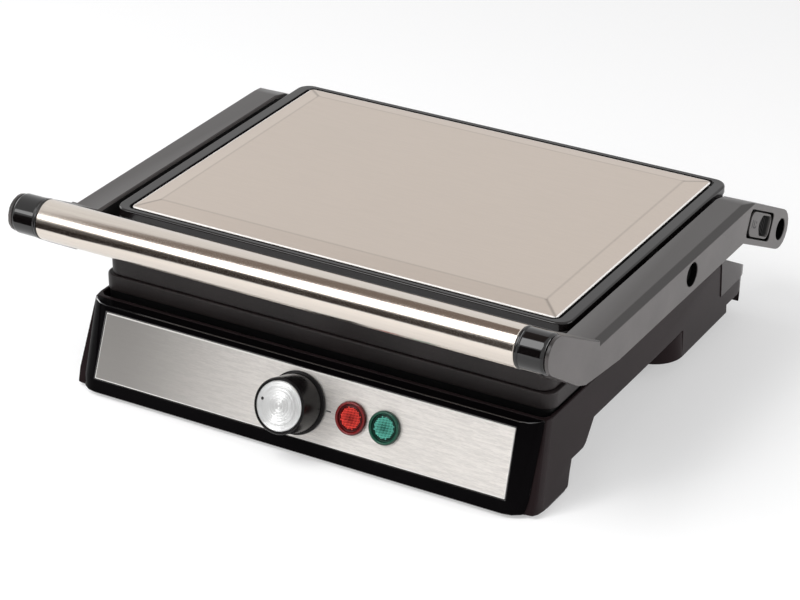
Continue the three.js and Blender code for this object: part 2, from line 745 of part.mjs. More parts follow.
// Thermostat, its bracket and the knob on its shaft
const thermostatFace = -thermostatBack;
const shaftEnd = thermostatFace - thermostatDepth / 2;
piece('thermostat_body', prism([
  [-thermostatWidth / 2, -thermostatHeight / 2],
  [thermostatWidth / 2, -thermostatHeight / 2],
  [thermostatWidth / 2, thermostatHeight / 2],
  [-thermostatWidth / 2, thermostatHeight / 2],
], thermostatFace - thermostatDepth, thermostatFace, inFront).subtract(
  turned(rod(shaftRadius + running, shaftEnd - seat, 0))), 'ceramic', front);
const bracketFace = -fasciaDepth - 2 * seat - baseWall - bracketSheet;
piece('thermostat_bracket', addAll([
  prism([
    [-bracketWidth / 2, -thermostatHeight / 2],
    [lampStemRadius + shaftHole, -thermostatHeight / 2],
    [lampStemRadius + shaftHole, thermostatHeight / 2],
    [-bracketWidth / 2, thermostatHeight / 2],
  ], bracketFace, bracketFace + bracketSheet, inFront),
  prism([
    [-thermostatWidth / 2, -thermostatHeight / 2],
    [bracketSheet - thermostatWidth / 2, -thermostatHeight / 2],
    [bracketSheet - thermostatWidth / 2, thermostatHeight / 2],
    [-thermostatWidth / 2, thermostatHeight / 2],
  ], thermostatFace + seat, bracketFace + bracketSheet / 2, inFront),
]).subtract(turned(rod(shaftHole, thermostatFace, 0))), 'sheetSteel', front);
piece('thermostat_shaft', turned(rod(shaftRadius, shaftEnd, shaftInKnob)), 'sheetSteel', front);
const discSeat = knobHeight - knobDiscSheet - seat;
piece('knob', turned([
  [shaftRadius + seat, knobGap],
  [knobSkirtRadius, knobGap],
  [knobSkirtRadius, knobGap + knobSkirt / 2],
  [knobSkirtRadius - knobEdge, knobGap + knobSkirt],
  [knobRadius + knobFlare, knobGap + knobSkirt],
  [knobRadius, knobHeight - knobEdge],
  [knobRadius - knobEdge, knobHeight],
  [knobDiscRadius + seat, knobHeight],
  [knobDiscRadius + seat, discSeat],
  [0, discSeat],
  [0, shaftInKnob + seat],
  [shaftRadius + seat, shaftInKnob + seat],
  [shaftRadius + seat, knobGap],
]), 'glossBlack', front);
piece('knob_disc', turned(rod(knobDiscRadius, discSeat + seat, knobHeight)), 'spunAluminium', front);

// Ribs of a cooking plate, as one comb of trapezoids
function ribs(half, foot, crest, front, rear) {
  const count = Math.floor((half - ribFoot) / ribPitch);
  const comb = [];
  for (let i = -count; i <= count; i += 1) {
    const x = i * ribPitch;
    comb.push(prismY([
      [x - ribFoot / 2, foot],
      [x + ribFoot / 2, foot],
      [x + ribCrest / 2, crest],
      [x - ribCrest / 2, crest],
    ], front, rear));
  }
  return comb;
}

// Lower cooking plate with its skirt
const lowerFloor = seamHeight - lowerRecess;
const lowerLevel = (z, inset) => ({
  z, points: roundedRect(lowerHalf - inset, lowerFront + inset, upperRear - inset, plateCorner),
});
const lowerBody = loft([
  lowerLevel(lowerBottom, plateEdge * edgeStartShare),
  lowerLevel(lowerBottom + plateEdge * edgeStartShare, 0),
  lowerLevel(seamHeight - plateEdge, 0),
  lowerLevel(seamHeight - plateEdge * edgeTurnShare, plateEdge * edgeTurnShare),
  lowerLevel(seamHeight, plateEdge),
]);
const skirtHalf = Math.min(lowerHalf - skirtInset, pocketHalf - skirtSlack);
const skirtFront = lowerFront + skirtInset;
const skirtRear = Math.min(upperRear - skirtInset, pocketEnd - 2 * skirtSlack);
const skirt = prismZ(roundedRect(skirtHalf, skirtFront, skirtRear, plateCorner / 2),
  lowerBottom - skirtDepth, lowerFloor - plateFloor / 2);
const lowerHollow = prismZ(roundedRect(skirtHalf - skirtWall, skirtFront + skirtWall,
  skirtRear - skirtWall, plateCorner / 4), lowerBottom - skirtDepth - overrun, lowerFloor - plateFloor);
const lowerFace = prismZ(roundedRect(lowerHalf - rimWidth, lowerFront + rimWidth, upperRear - rimWidth,
  plateCorner / 2), lowerFloor, seamHeight + overrun);
piece('lower_grill_plate', addAll([
  subtractAll(lowerBody.add(skirt), [lowerHollow, lowerFace]),
  ...ribs(lowerHalf - rimWidth, lowerFloor - plateFloor / 2, lowerFloor + lowerRib,
    lowerFront + rimWidth + ribEnd, upperRear - rimWidth - ribEnd),
]), 'nonStick');

// Upper cooking plate
const upperFloor = upperBottom + upperRecess;
const upperTop = upperBottom + upperRim;
const upperLevel = (z, inset) => ({
  z, points: roundedRect(upperHalf - inset, upperFront + inset, upperRear - inset, plateCorner),
});
const upperBody = loft([
  upperLevel(upperBottom, plateEdge),
  upperLevel(upperBottom + plateEdge * edgeTurnShare, plateEdge * edgeTurnShare),
  upperLevel(upperBottom + plateEdge, 0),
  upperLevel(upperTop, 0),
]);
const upperFace = prismZ(roundedRect(upperHalf - rimWidth, upperFront + rimWidth, upperRear - rimWidth,
  plateCorner / 2), upperBottom - overrun, upperFloor);
const upperHollow = prismZ(roundedRect(upperHalf - rimWidth, upperFront + rimWidth, upperRear - rimWidth,
  plateCorner / 2), upperFloor + plateFloor, upperTop + overrun);
const upperRibs = ribs(upperHalf - rimWidth, upperFloor - upperRib, upperFloor + plateFloor / 2,
  upperFront + rimWidth + ribEnd, upperRear - rimWidth - ribEnd);
piece('upper_grill_plate', addAll([subtractAll(upperBody, [upperFace, upperHollow]), ...upperRibs]),
  'nonStick');

// Heating element: a round bar bent into an open loop against the back of its plate
function element(half, frontY, rearY, z) {
  const bend = elementBend;
  const side = half - elementInset;
  const near = frontY + elementInset;
  const far = rearY - elementInset;
  const at = (x, y) => new THREE.Vector3(x, y, z);
  const path = new THREE.CurvePath();
  path.add(new THREE.LineCurve3(at(-elementGap / 2, far), at(bend - side, far)));
  path.add(new THREE.QuadraticBezierCurve3(at(bend - side, far), at(-side, far), at(-side, far - bend)));
  path.add(new THREE.LineCurve3(at(-side, far - bend), at(-side, near + bend)));
  path.add(new THREE.QuadraticBezierCurve3(at(-side, near + bend), at(-side, near), at(bend - side, near)));
  path.add(new THREE.LineCurve3(at(bend - side, near), at(side - bend, near)));
  path.add(new THREE.QuadraticBezierCurve3(at(side - bend, near), at(side, near), at(side, near + bend)));
  path.add(new THREE.LineCurve3(at(side, near + bend), at(side, far - bend)));
  path.add(new THREE.QuadraticBezierCurve3(at(side, far - bend), at(side, far), at(side - bend, far)));
  path.add(new THREE.LineCurve3(at(side - bend, far), at(elementGap / 2, far)));
  const section = toShape(arc(0, 0, elementRadius, 0, 2 * Math.PI, elementSides).slice(0, -1));
  return toSolid(new THREE.ExtrudeGeometry(section, {
    steps: elementSteps, bevelEnabled: false, extrudePath: path,
  }));
}
const elementHalf = skirtHalf;
piece('lower_heating_element', element(elementHalf, skirtFront, skirtRear,
  lowerFloor - plateFloor - seat - elementRadius), 'element');
piece('upper_heating_element', element(elementHalf, skirtFront, skirtRear,
  upperFloor + plateFloor + seat + elementRadius), 'element');

// Reflector pan below the lower element, hung by its flange in the pocket
const panTop = pocketBottom + seat + panSheet;
const panHalf = pocketHalf - windowRim - seat;
const panFront = pocketFront + windowRim + overrun + seat;
const panRear = pocketEnd - windowRim - seat;
piece('lower_reflector', subtractAll(addAll([
  block(-panHalf - panFlange, panHalf + panFlange, panFront - panFlange, panRear + panFlange,
    pocketBottom + seat, panTop),
  block(-panHalf, panHalf, panFront, panRear, panTop - panDepth, panTop),
]), [
  block(panSheet - panHalf, panHalf - panSheet, panFront + panSheet, panRear - panSheet,
    panTop - panDepth + panSheet, panTop + overrun),
]), 'sheetSteel');

// Terminal block on the floor of the rear legs, and the inlet gland in the rear wall
const terminalLow = legHeight + baseWall + seat;
piece('terminal_block', block(-terminalWidth / 2, terminalWidth / 2, notchAt - baseWall - 3 * terminalDepth,
  notchAt - baseWall - 2 * terminalDepth, terminalLow, terminalLow + terminalHeight), 'ceramic');
piece('cord_gland', turned([
  [glandBore, heelAt + seat],
  [glandRadius, heelAt + seat],
  [glandRadius, glandFace],
  [glandFlangeRadius, glandFace],
  [glandFlangeRadius - glandFlange / 3, glandFace + glandFlange],
  [glandBore, glandFace + glandFlange],
  [glandBore, heelAt + seat],
], roundSides, glandPlace), 'rubber');

// Upper housing
const housingHalf = ringHalf - housingSide;
const ringLow = lidTop - ringBand;
const housingLevel = (z, half, ahead) => ({
  z, points: roundedRect(half, -ringReach - ahead, ringReach - (ringHalf - half), ringCorner),
});
const housingForm = loft([
  housingLevel(housingBottom, housingHalf, housingFront),
  housingLevel(ringLow - housingSlope, housingHalf, housingFront),
  housingLevel(ringLow - ledgeFall, ringHalf - ringRound, ledgeFront),
  housingLevel(ringLow, ringHalf, ledgeFront / 2),
  housingLevel(ringLow + ledgeFall / 2, ringHalf, 0),
  housingLevel(lidTop - ringRound, ringHalf, 0),
  housingLevel(lidTop, ringHalf - ringRound, -ringRound),
]);
const coverHalf = coverWidth / 2;
const coverReach = coverDepth / 2;
const deckHeight = lidTop - coverSheet - seat;
const housingHollow = prismZ(roundedRect(housingHalf - lidWall, lidWall - ringReach, ringReach - 2 * lidWall,
  ringCorner - lidWall), housingBottom - overrun, deckHeight - lidDeck);
const floatBore = (side) => rodX(floatPinRadius + floatBushWall + 2 * seat,
  side * (housingHalf - 2 * lidWall - overrun), side * (ringHalf + overrun), floatPivot);
piece('upper_housing', subtractAll(housingForm, [
  housingHollow,
  prismZ(roundedRect(coverHalf + coverGroove, -coverReach - coverGroove, coverReach + coverGroove,
    coverCorner + coverGroove), deckHeight, lidTop + overrun),
  ...sides.map(([, side]) => floatBore(side)),
]), 'armPlastic');

// Steel cover: a folded sheet with a sloping border
const coverLevel = (z, inset) => ({
  z, points: roundedRect(coverHalf - inset, inset - coverReach, coverReach - inset, coverCorner),
});
const coverOutside = loft([
  coverLevel(deckHeight + seat, 0),
  coverLevel(lidTop, 0),
  coverLevel(lidTop + coverRise, coverBevel),
]);
const coverInside = loft([
  coverLevel(deckHeight + seat - overrun, coverSheet),
  coverLevel(lidTop - coverSheet, coverSheet),
  coverLevel(lidTop + coverRise - coverSheet, coverBevel),
]);
piece('top_cover', coverOutside.subtract(coverInside), 'satinSteel');

// Reflector above the upper element
const shieldHalf = skirtHalf - skirtWall;
const shieldTop = deckHeight - lidDeck - seat;
piece('upper_reflector', block(-shieldHalf, shieldHalf, -ringReach + 3 * lidWall, ringReach - 4 * lidWall,
  shieldTop - panSheet, shieldTop), 'sheetSteel');

// Side outline of an arm, drawn in by an inset: sill, ear round the pivot, top, cheek round the bar
const ear = THREE.MathUtils.degToRad(earAngle);
const earAlong = { y: Math.cos(ear), z: -Math.sin(ear) };
const earAcross = { y: Math.sin(ear), z: Math.cos(ear) };
function bendAt(level, radius) {
  const run = (pivot.z + earAcross.z * radius - level) / Math.sin(ear);
  return pivot.y + earAcross.y * radius + earAlong.y * run;
}
function tangentAngle(from, centre, radius, turn) {
  const along = Math.atan2(from.z - centre.z, from.y - centre.y);
  const apart = Math.hypot(from.y - centre.y, from.z - centre.z);
  return along + turn * Math.acos(radius / apart);
}
function armOutline(inset) {
  const top = armTop - inset;
  const bottom = armBottom + inset;
  const radius = cheekRadius - inset;
  const topBend = bendAt(top, earRadius - inset);
  const brow = { y: -armFront + inset, z: top };
  const heel = { y: handle.y + heelReach, z: bottom + heelRise };
  const high = tangentAngle(brow, handle, radius, 1);
  const low = tangentAngle(heel, handle, radius, -1) + 2 * Math.PI;
  return [
    [heel.y, heel.z],
    [handle.y + jawReach, bottom + jawRise],
    [handle.y + sillReach, bottom],
    [bendAt(bottom, inset - earRadius), bottom],
    ...arc(pivot.y, pivot.z, earRadius - inset, -Math.PI / 2 - ear, Math.PI / 2 - ear, arcSteps),
    [topBend + earAlong.y * earBend, top + earAlong.z * earBend],
    [topBend - earBend, top],
    [brow.y, brow.z],
    ...arc(handle.y, handle.z, radius, high, low, arcSteps),
  ];
}

// A box along the ear, centred before the pivot, in [y, z] points
function earBox(before, length, width, corner) {
  return roundedRect(length / 2, -width / 2, width / 2, corner).map(([along, across]) => [
    pivot.y + earAlong.y * (along - before) + earAcross.y * across,
    pivot.z + earAlong.z * (along - before) + earAcross.z * across,
  ]);
}

const channelFrom = handle.y + channelStart;
const channelFloor = armOuter - armOuterWall;
const behindCap = (solid, extra) => solid.intersect(block(-armOuter, armOuter, channelFrom + extra,
  pivot.y + 2 * earRadius, 0, armTop + earRadius));
for (const [name, side] of sides) {
  const bevelEdge = side * (armOuter - armBevelWidth);
  const bevelTip = side * (armOuter + overrun);
  const bevel = prismY([
    [bevelEdge, armTop],
    [side * armOuter, armTop - armBevelDrop],
    [bevelTip, armTop - armBevelDrop],
    [bevelTip, armTop + overrun],
    [bevelEdge, armTop + overrun],
  ], armBevelWidth / 2 - armFront, pivot.y + earRadius);
  const channel = behindCap(prismX(armOutline(armWall), side * (armInner - overrun), side * channelFloor), 0);
  const cuts = [
    bevel,
    channel,
    rodX(capRadius + seat, side * (armInner - overrun), side * (armOuter - cheekPlate), handle),
    rodX(earHoleRadius, side * (channelFloor - overrun), side * (armOuter + overrun), pivot),
    rodX(floatHoleRadius, side * (channelFloor - overrun), side * (armOuter + overrun), floatPivot),
  ];
  if (side > 0) {
    cuts.push(prismX(earBox(windowBefore, windowLength, windowWidth, windowCorner),
      channelFloor - sliderThick - overrun, armOuter + overrun));
  }
  piece(`${name}_arm`, subtractAll(prismX(armOutline(0), side * armInner, side * armOuter), cuts),
    'armPlastic');

  const coverOut = armInner + panelDepth + panelSheet;
  const pinHole = rodX(pinRadius + bushWall + 2 * seat, 0, side * armOuter, pivot);
  const floatHole = rodX(floatPinRadius + seat, 0, side * armOuter, floatPivot);
  piece(`${name}_arm_cover`, subtractAll(
    behindCap(prismX(armOutline(armWall + seat), side * (armInner + panelDepth), side * coverOut), seat),
    [pinHole, floatHole],
  ), 'innerPlastic');
  piece(`${name}_arm_core`, subtractAll(
    behindCap(prismX(armOutline(armWall + coreMargin), side * (armInner + coreDepth),
      side * (armInner + coreDepth + coreSheet)), coreMargin),
    [pinHole, floatHole],
  ), 'sheetSteel');

  piece(`hinge_bush_${name}`, turnedX(sleeve(pinRadius + running, pinRadius + bushWall + seat,
    armInner + panelDepth, armInner + coreDepth + 2 * coreSheet), pivot, side), 'innerPlastic');
  piece(`hinge_pin_${name}`, rodX(pinRadius, side * (bracketOuter - bracketThick - seat),
    side * (armOuter - pinFace), pivot), 'sheetSteel');
  piece(`hinge_bracket_${name}`, prismX([
    [pivot.y - bracketFootAhead, notchHeight + baseWall + seat],
    [pivot.y + bracketFootBehind, notchHeight + baseWall + seat],
    [pivot.y + bracketFootBehind, bracketWaist],
    ...arc(pivot.y, pivot.z, bracketRadius, 0, Math.PI, arcSteps),
  ], side * (bracketOuter - bracketThick), side * bracketOuter).subtract(
    rodX(pinRadius + seat, 0, side * armOuter, pivot)), 'sheetSteel');

  const headIn = channelFloor - floatHead / 2;
  piece(`float_pin_${name}`, turnedX([
    [0, ringHalf - floatInset - floatFlange],
    [floatPinRadius, ringHalf - floatInset - floatFlange],
    [floatPinRadius, headIn],
    [floatHeadRadius, headIn],
    [floatHeadRadius, headIn + floatHead],
    [0, headIn + floatHead],
  ], floatPivot, side), 'sheetSteel');
  piece(`float_bush_${name}`, turnedX([
    [floatPinRadius + running, ringHalf - floatInset],
    [floatPinRadius + seat + floatBushWall, ringHalf - floatInset],
    [floatPinRadius + seat + floatBushWall, ringHalf + seat],
    [floatPinRadius + 2 * floatBushWall, ringHalf + seat],
    [floatPinRadius + 2 * floatBushWall, ringHalf + seat + floatFlange],
    [floatPinRadius + running, ringHalf + seat + floatFlange],
    [floatPinRadius + running, ringHalf - floatInset],
  ], floatPivot, side), 'innerPlastic');

  const capOut = armOuter - cheekPlate - seat;
  piece(`handle_cap_${name}`, turnedX([
    [rodRadius + seat, capInner - spigotLength],
    [tubeRadius - tubeSheet - seat, capInner - spigotLength],
    [tubeRadius - tubeSheet - seat, capInner],
    [capRadius - capDip, capInner],
    [capRadius, capInner + capDip],
    [capRadius, capInner + capLip],
    [capRadius - capDip, capInner + capLip + capDip],
    ...arc(0, 0, capTurn, 0, Math.PI / 2, cornerSteps / 2).map(([out, along]) => (
      [capRadius - capDip - capTurn + out, capOut - capTurn + along])),
    [rodRadius + seat, capOut],
    [rodRadius + seat, capInner - spigotLength],
  ], handle, side), 'glossBlack');
}

// Bar handle and the rod that clamps its caps
const tubeHalf = capInner - seat;
piece('handle_tube', turnedX(sleeve(tubeRadius - tubeSheet, tubeRadius, -tubeHalf, tubeHalf), handle),
  'polishedSteel');
const rodHalf = armOuter - cheekPlate - 2 * seat;
piece('handle_rod', rodX(rodRadius, -rodHalf, rodHalf, handle, smallSides), 'sheetSteel');

// Release slider at the rear end of its window, with a scoop for the finger
const sliderOut = armOuter - sliderSink;
const sliderLength = windowLength - sliderTravel - 2 * seat;
const sliderBefore = windowBefore - sliderTravel / 2;
const sliderWidth = windowWidth - 2 * seat;
const scoopBefore = sliderBefore - sliderLength / 2 + scoopLength / 2 + scoopMargin;
piece('release_slider', prismX(
  earBox(sliderBefore, sliderLength, sliderWidth, windowCorner - seat),
  channelFloor - seat - sliderThick, sliderOut,
).subtract(prismX(
  earBox(scoopBefore, scoopLength, sliderWidth - 2 * scoopMargin, windowCorner / 2),
  sliderOut - sliderScoop, armOuter,
)), 'sliderPlastic');

export default whole;
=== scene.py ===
"""Contact grill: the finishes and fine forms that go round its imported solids."""

import json
from math import atan2, copysign, cos, pi, radians, sin

import bmesh
import bpy
from mathutils import Matrix, Vector


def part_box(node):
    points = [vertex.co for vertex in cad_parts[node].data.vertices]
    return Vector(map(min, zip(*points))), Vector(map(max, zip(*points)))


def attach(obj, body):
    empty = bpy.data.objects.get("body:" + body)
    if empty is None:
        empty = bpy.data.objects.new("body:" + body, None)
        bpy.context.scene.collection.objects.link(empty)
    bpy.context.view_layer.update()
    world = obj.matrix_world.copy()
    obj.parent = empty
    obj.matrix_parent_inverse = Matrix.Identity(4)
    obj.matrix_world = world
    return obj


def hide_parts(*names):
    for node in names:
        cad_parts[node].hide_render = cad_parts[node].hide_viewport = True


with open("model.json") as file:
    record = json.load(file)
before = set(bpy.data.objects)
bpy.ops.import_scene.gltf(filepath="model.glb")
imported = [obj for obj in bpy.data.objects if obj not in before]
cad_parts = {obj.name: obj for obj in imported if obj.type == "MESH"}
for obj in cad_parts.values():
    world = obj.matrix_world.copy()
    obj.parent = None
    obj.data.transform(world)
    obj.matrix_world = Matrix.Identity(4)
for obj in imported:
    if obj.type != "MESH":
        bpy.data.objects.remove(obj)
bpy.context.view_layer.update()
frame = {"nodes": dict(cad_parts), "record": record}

MM = 0.001


# Places that the fine pieces share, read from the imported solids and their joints
def span(node):
    """Low corner, high corner and middle of a solid's box."""
    low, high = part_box(node)
    return low, high, (low + high) / 2


def joint(name):
    """The record's row for a joint."""
    return next(row for row in frame["record"]["behaviour"]["joints"] if row["name"] == name)


# Corners, middles, LID_Y and the panel's lengths are in metres, the other lengths in mm
_, COVER_HIGH, COVER_MIDDLE = span("top_cover")
LID_Y = COVER_MIDDLE.y
COVER_HALF = COVER_HIGH.x / MM
COVER_REACH = (COVER_HIGH.y - LID_Y) / MM
HOUSING_LOW, HOUSING_HIGH, _ = span("upper_housing")
LID_TOP = HOUSING_HIGH.z / MM
RING_HALF = HOUSING_HIGH.x / MM
RING_REACH = (HOUSING_HIGH.y - LID_Y) / MM
_, TUBE_HIGH, HANDLE = span("handle_tube")
TUBE_RADIUS = (TUBE_HIGH.z - HANDLE.z) / MM
PIVOT = Vector((0, *span("hinge_pin_left")[2][1:]))
FLOAT_PIVOT = Vector((0, *span("float_pin_left")[2][1:]))
ARM_OUTER = span("right_arm")[1].x / MM
SLIDER_LOW, SLIDER_HIGH, _ = span("release_slider")
# Heights of the dial's face over the panel and of the lower plate's rim over the table
DIAL_FACE = 22
LOWER_RIM_FOOT = 55.9

SIDES = (("left", -1), ("right", 1))
CORNERS = [f"{end}_{side}" for end in ("front", "rear") for side in ("left", "right")]

# The panel leans back; its own frame has X along it, Y up it and Z out of it, from the dial's seat
KNOB_TURN = joint("knob_turn")
KNOB_AXIS = Vector(KNOB_TURN["axis"])
LEAN = atan2(-KNOB_AXIS.z, KNOB_AXIS.y)
TO_PANEL = Matrix.Translation(KNOB_TURN["pos_m"]) @ Matrix.Rotation(pi / 2 - LEAN, 4, "X")
PANEL_UP = TO_PANEL.to_3x3() @ Vector((0, 1, 0))
PANEL_RISE = TO_PANEL.translation.dot(PANEL_UP)
PANEL_HALF = span("control_panel")[1].x
PANEL_CORNERS = frame["nodes"]["control_panel"].data.vertices
PANEL_REACH = max(corner.co.dot(PANEL_UP) for corner in PANEL_CORNERS) - PANEL_RISE

# The right arm's ear: X along the slider's way, Y across it and Z out of the arm, from the hinge
SLIDE = Vector(joint("slider_release")["axis"])
EAR = atan2(SLIDE.z, -SLIDE.y)
TO_EAR = Matrix((
    (0, 0, 1, 0),
    (cos(EAR), sin(EAR), 0, PIVOT.y),
    (-sin(EAR), cos(EAR), 0, PIVOT.z),
    (0, 0, 0, 1),
))


def sideways(middle, side=1):
    """Lays an axis along X through a middle, out to the right (1) or to the left (-1)."""
    return Matrix.Translation(middle) @ Matrix.Rotation(side * pi / 2, 4, "Y")


# Shader arithmetic
class Wire:
    """One output socket, with arithmetic that adds Math nodes to its tree."""

    def __init__(self, tree, socket):
        self.tree = tree
        self.socket = socket

    def worked(self, operation, *values):
        return self.tree.node("ShaderNodeMath", {"operation": operation}, dict(enumerate(values)))

    def __add__(self, other):
        return self.worked("ADD", self, other)

    __radd__ = __add__

    def __sub__(self, other):
        return self.worked("SUBTRACT", self, other)

    def __rsub__(self, other):
        return self.worked("SUBTRACT", other, self)

    def __mul__(self, other):
        return self.worked("MULTIPLY", self, other)

    __rmul__ = __mul__

    def __abs__(self):
        return self.worked("ABSOLUTE", self)

    def least(self, other):
        return self.worked("MINIMUM", self, other)


class Tree:
    """A shader tree and the one method that adds its nodes."""

    def __init__(self, node_tree):
        self.nodes = node_tree.nodes
        self.links = node_tree.links
        self.nodes.clear()

    def node(self, kind, settings=None, sockets=None, out=0):
        made = self.nodes.new(kind)
        for name, value in (settings or {}).items():
            setattr(made, name, value)
        for name, value in (sockets or {}).items():
            target = made.inputs[name]
            if isinstance(value, Wire):
                self.links.new(value.socket, target)
            elif isinstance(value, tuple) and target.type == "RGBA":
                target.default_value = (*value, 1)
            else:
                target.default_value = value
        return Wire(self, made.outputs[out])

    def ramp(self, value, low, high):
        """0 below low and 1 above high, smooth in between; the two may be swapped."""
        if low > high:
            return 1.0 - self.ramp(value, high, low)
        return self.node("ShaderNodeMapRange", {"interpolation_type": "SMOOTHSTEP"}, {
            "Value": value, "From Min": low, "From Max": high})

    def mixed(self, share, first, second):
        """A colour between two; the sockets of Mix share their names, so they go by place."""
        return self.node("ShaderNodeMix", {"data_type": "RGBA"}, {
            0: share, 6: first, 7: second}, out=2)

    def split(self, vector):
        """X, Y and Z of a vector."""
        return [self.node("ShaderNodeSeparateXYZ", {}, {"Vector": vector}, out=axis)
                for axis in "XYZ"]

    def end(self, kind, shader):
        made = self.nodes.new(kind)
        self.links.new(shader.socket, made.inputs["Surface"])


class Finish(Tree):
    """A material with the places of its own piece."""

    def __init__(self, name):
        self.material = bpy.data.materials.new(name)
        self.material.use_nodes = True
        super().__init__(self.material.node_tree)
        self.place = self.node("ShaderNodeTexCoord", out="Object")

    def stretched(self, grain, fineness):
        """Places drawn out along each axis, for lines of a given fineness."""
        scale = tuple(part * fineness for part in grain)
        return self.node("ShaderNodeMapping", {}, {"Vector": self.place, "Scale": scale})

    def noise(self, scale, at=None, detail=2.0, rough=0.55):
        return self.node("ShaderNodeTexNoise", {}, {
            "Vector": at or self.place, "Scale": scale, "Detail": detail, "Roughness": rough})

    def bump(self, height, distance):
        return self.node("ShaderNodeBump", {}, {"Height": height, "Distance": distance})

    def vector(self, operation, *values, out=0):
        return self.node("ShaderNodeVectorMath", {"operation": operation},
                         dict(enumerate(values)), out)

    def surface(self, **sockets):
        values = {name.replace("_", " "): value for name, value in sockets.items()}
        self.end("ShaderNodeOutputMaterial", self.node("ShaderNodeBsdfPrincipled", {}, values))
        return self.material


def shade(colour, share):
    """A colour times a share, kept within white."""
    return tuple(min(1.0, part * share) for part in colour)


# Finishes
def brushed(name, colour, grain, rough, depth, cloud=0.05, streak=0.16, grit=0.2, marks=None):
    """Steel with drawn lines: grain is their stretch along each axis and depth is in microns.
    Marks gives painted light in three shares: painted shade in creases, a painted highlight on the
    cut edge and painted shade over an area."""
    finish = Finish(name)
    coarse = finish.noise(1.0, finish.stretched(grain, 700), 3)
    fine = finish.noise(1.0, finish.stretched(grain, 3200), 2)
    cloudy = finish.noise(9.0, detail=2.5)
    lines = coarse * 0.55 + fine * 0.45
    worn = finish.mixed(cloudy, shade(colour, 1 - cloud), shade(colour, 1 + cloud))
    base = finish.mixed(finish.ramp(lines, 0.36, 0.64) * streak, worn, shade(colour, 0.6))
    metal = 1.0
    if marks:
        # Painted light: shade darkens the creases and an area, and a near-white line on the cut
        # edge is a painted highlight
        crease_shade, painted_edge_line, dark = marks(finish)
        base = finish.mixed(crease_shade, base, shade(colour, 0.52))
        base = finish.mixed(dark, base, shade(colour, 0.37))
        base = finish.mixed(painted_edge_line, base, (0.9, 0.88, 0.86))
        metal = 1.0 - painted_edge_line * 0.75
    return finish.surface(
        Base_Color=base,
        Metallic=metal,
        Roughness=rough + (lines - 0.5) * grit + (cloudy - 0.5) * 0.06,
        Normal=finish.bump(lines, depth * MM * MM),
    )


def cover_painted_light(finish):
    """Painted shade in soft dark lines along the cover's mitres and round its flat middle, and a
    painted highlight along its cut edge.
    """
    border, half_mitre, half_rim = 13.2 * MM, 2.2 * MM, 1.3 * MM
    x, y, _ = finish.split(finish.place)
    from_side = COVER_HALF * MM - abs(x)
    from_end = COVER_REACH * MM - abs(y - LID_Y)
    inset = from_side.least(from_end)
    on_border = finish.ramp(inset, border + 0.4 * MM, border - 0.6 * MM)
    mitre = finish.ramp(abs(from_side - from_end), half_mitre, 0.0) * on_border
    rim = finish.ramp(abs(inset - border), half_rim, 0.0)
    painted_edge_line = finish.ramp(inset, 1.0 * MM, 0.7 * MM)
    return mitre * 0.7 + rim * 0.34, painted_edge_line * 0.85, 0.0


def panel_painted_light(finish):
    """The panel's painted highlight along its cut edge, and its left end painted darker: a painted
    reflection that dims to the left.
    """
    left_end = -0.13
    x, y, z = finish.split(finish.place)
    up = y * PANEL_UP.y + z * PANEL_UP.z - PANEL_RISE
    inset = (PANEL_HALF - abs(x)).least(PANEL_REACH - abs(up))
    return 0.0, finish.ramp(inset, 0.85 * MM, 0.6 * MM), finish.ramp(x, 0.0, left_end)


def moulding(finish, colour, grain, mottle):
    """Fine texture, handling marks and mottled colour of moulded plastic."""
    grainy = finish.noise(grain, detail=2)
    marks = finish.noise(22, detail=4, rough=0.62)
    base = finish.mixed(finish.ramp(marks, 0.35, 0.7), shade(colour, 1 - mottle),
                        shade(colour, 1 + mottle))
    return grainy, marks, base


def moulded(name, colour, rough, grain=900, depth=0.02, shine=0.5, coat=0.0, mottle=0.12,
            polish=0.08):
    """Moulded plastic; depth is in mm, and polish is how far its roughness varies."""
    finish = Finish(name)
    grainy, marks, base = moulding(finish, colour, grain, mottle)
    return finish.surface(
        Base_Color=base,
        Roughness=rough + (marks - 0.5) * polish + (grainy - 0.5) * polish,
        Specular_IOR_Level=shine,
        Normal=finish.bump(grainy, depth * MM),
        Coat_Weight=coat,
        Coat_Roughness=0.05,
    )


def coated_plate(name, rim_foot):
    """Cast aluminium under a dark coating with a sandy grain; the skirt below the rim is painted
    near-black: painted shade between the plate and the base.
    """
    soft = 0.6 * MM
    finish = Finish(name)
    sand = finish.noise(1300, detail=3, rough=0.7)
    specks = finish.node("ShaderNodeTexVoronoi", {}, {"Vector": finish.place, "Scale": 800.0})
    wear = finish.ramp(finish.noise(30, detail=4), 0.3, 0.75)
    dark = finish.mixed(wear, (0.011, 0.0085, 0.0085), (0.018, 0.0135, 0.0135))
    base = finish.mixed(finish.ramp(specks, 0.24, 0.02) * 0.5, dark, (0.075, 0.06, 0.058))
    # Painted shade: below the rim's foot the skirt goes near-black
    skirt = finish.ramp(finish.split(finish.place)[2], rim_foot + soft, rim_foot - soft)
    return finish.surface(
        Base_Color=finish.mixed(skirt, base, (0.002, 0.002, 0.0022)),
        Roughness=0.46 + (sand - 0.5) * 0.25,
        Specular_IOR_Level=0.3,
        Normal=finish.bump(sand + specks * 0.4, 0.045 * MM),
    )


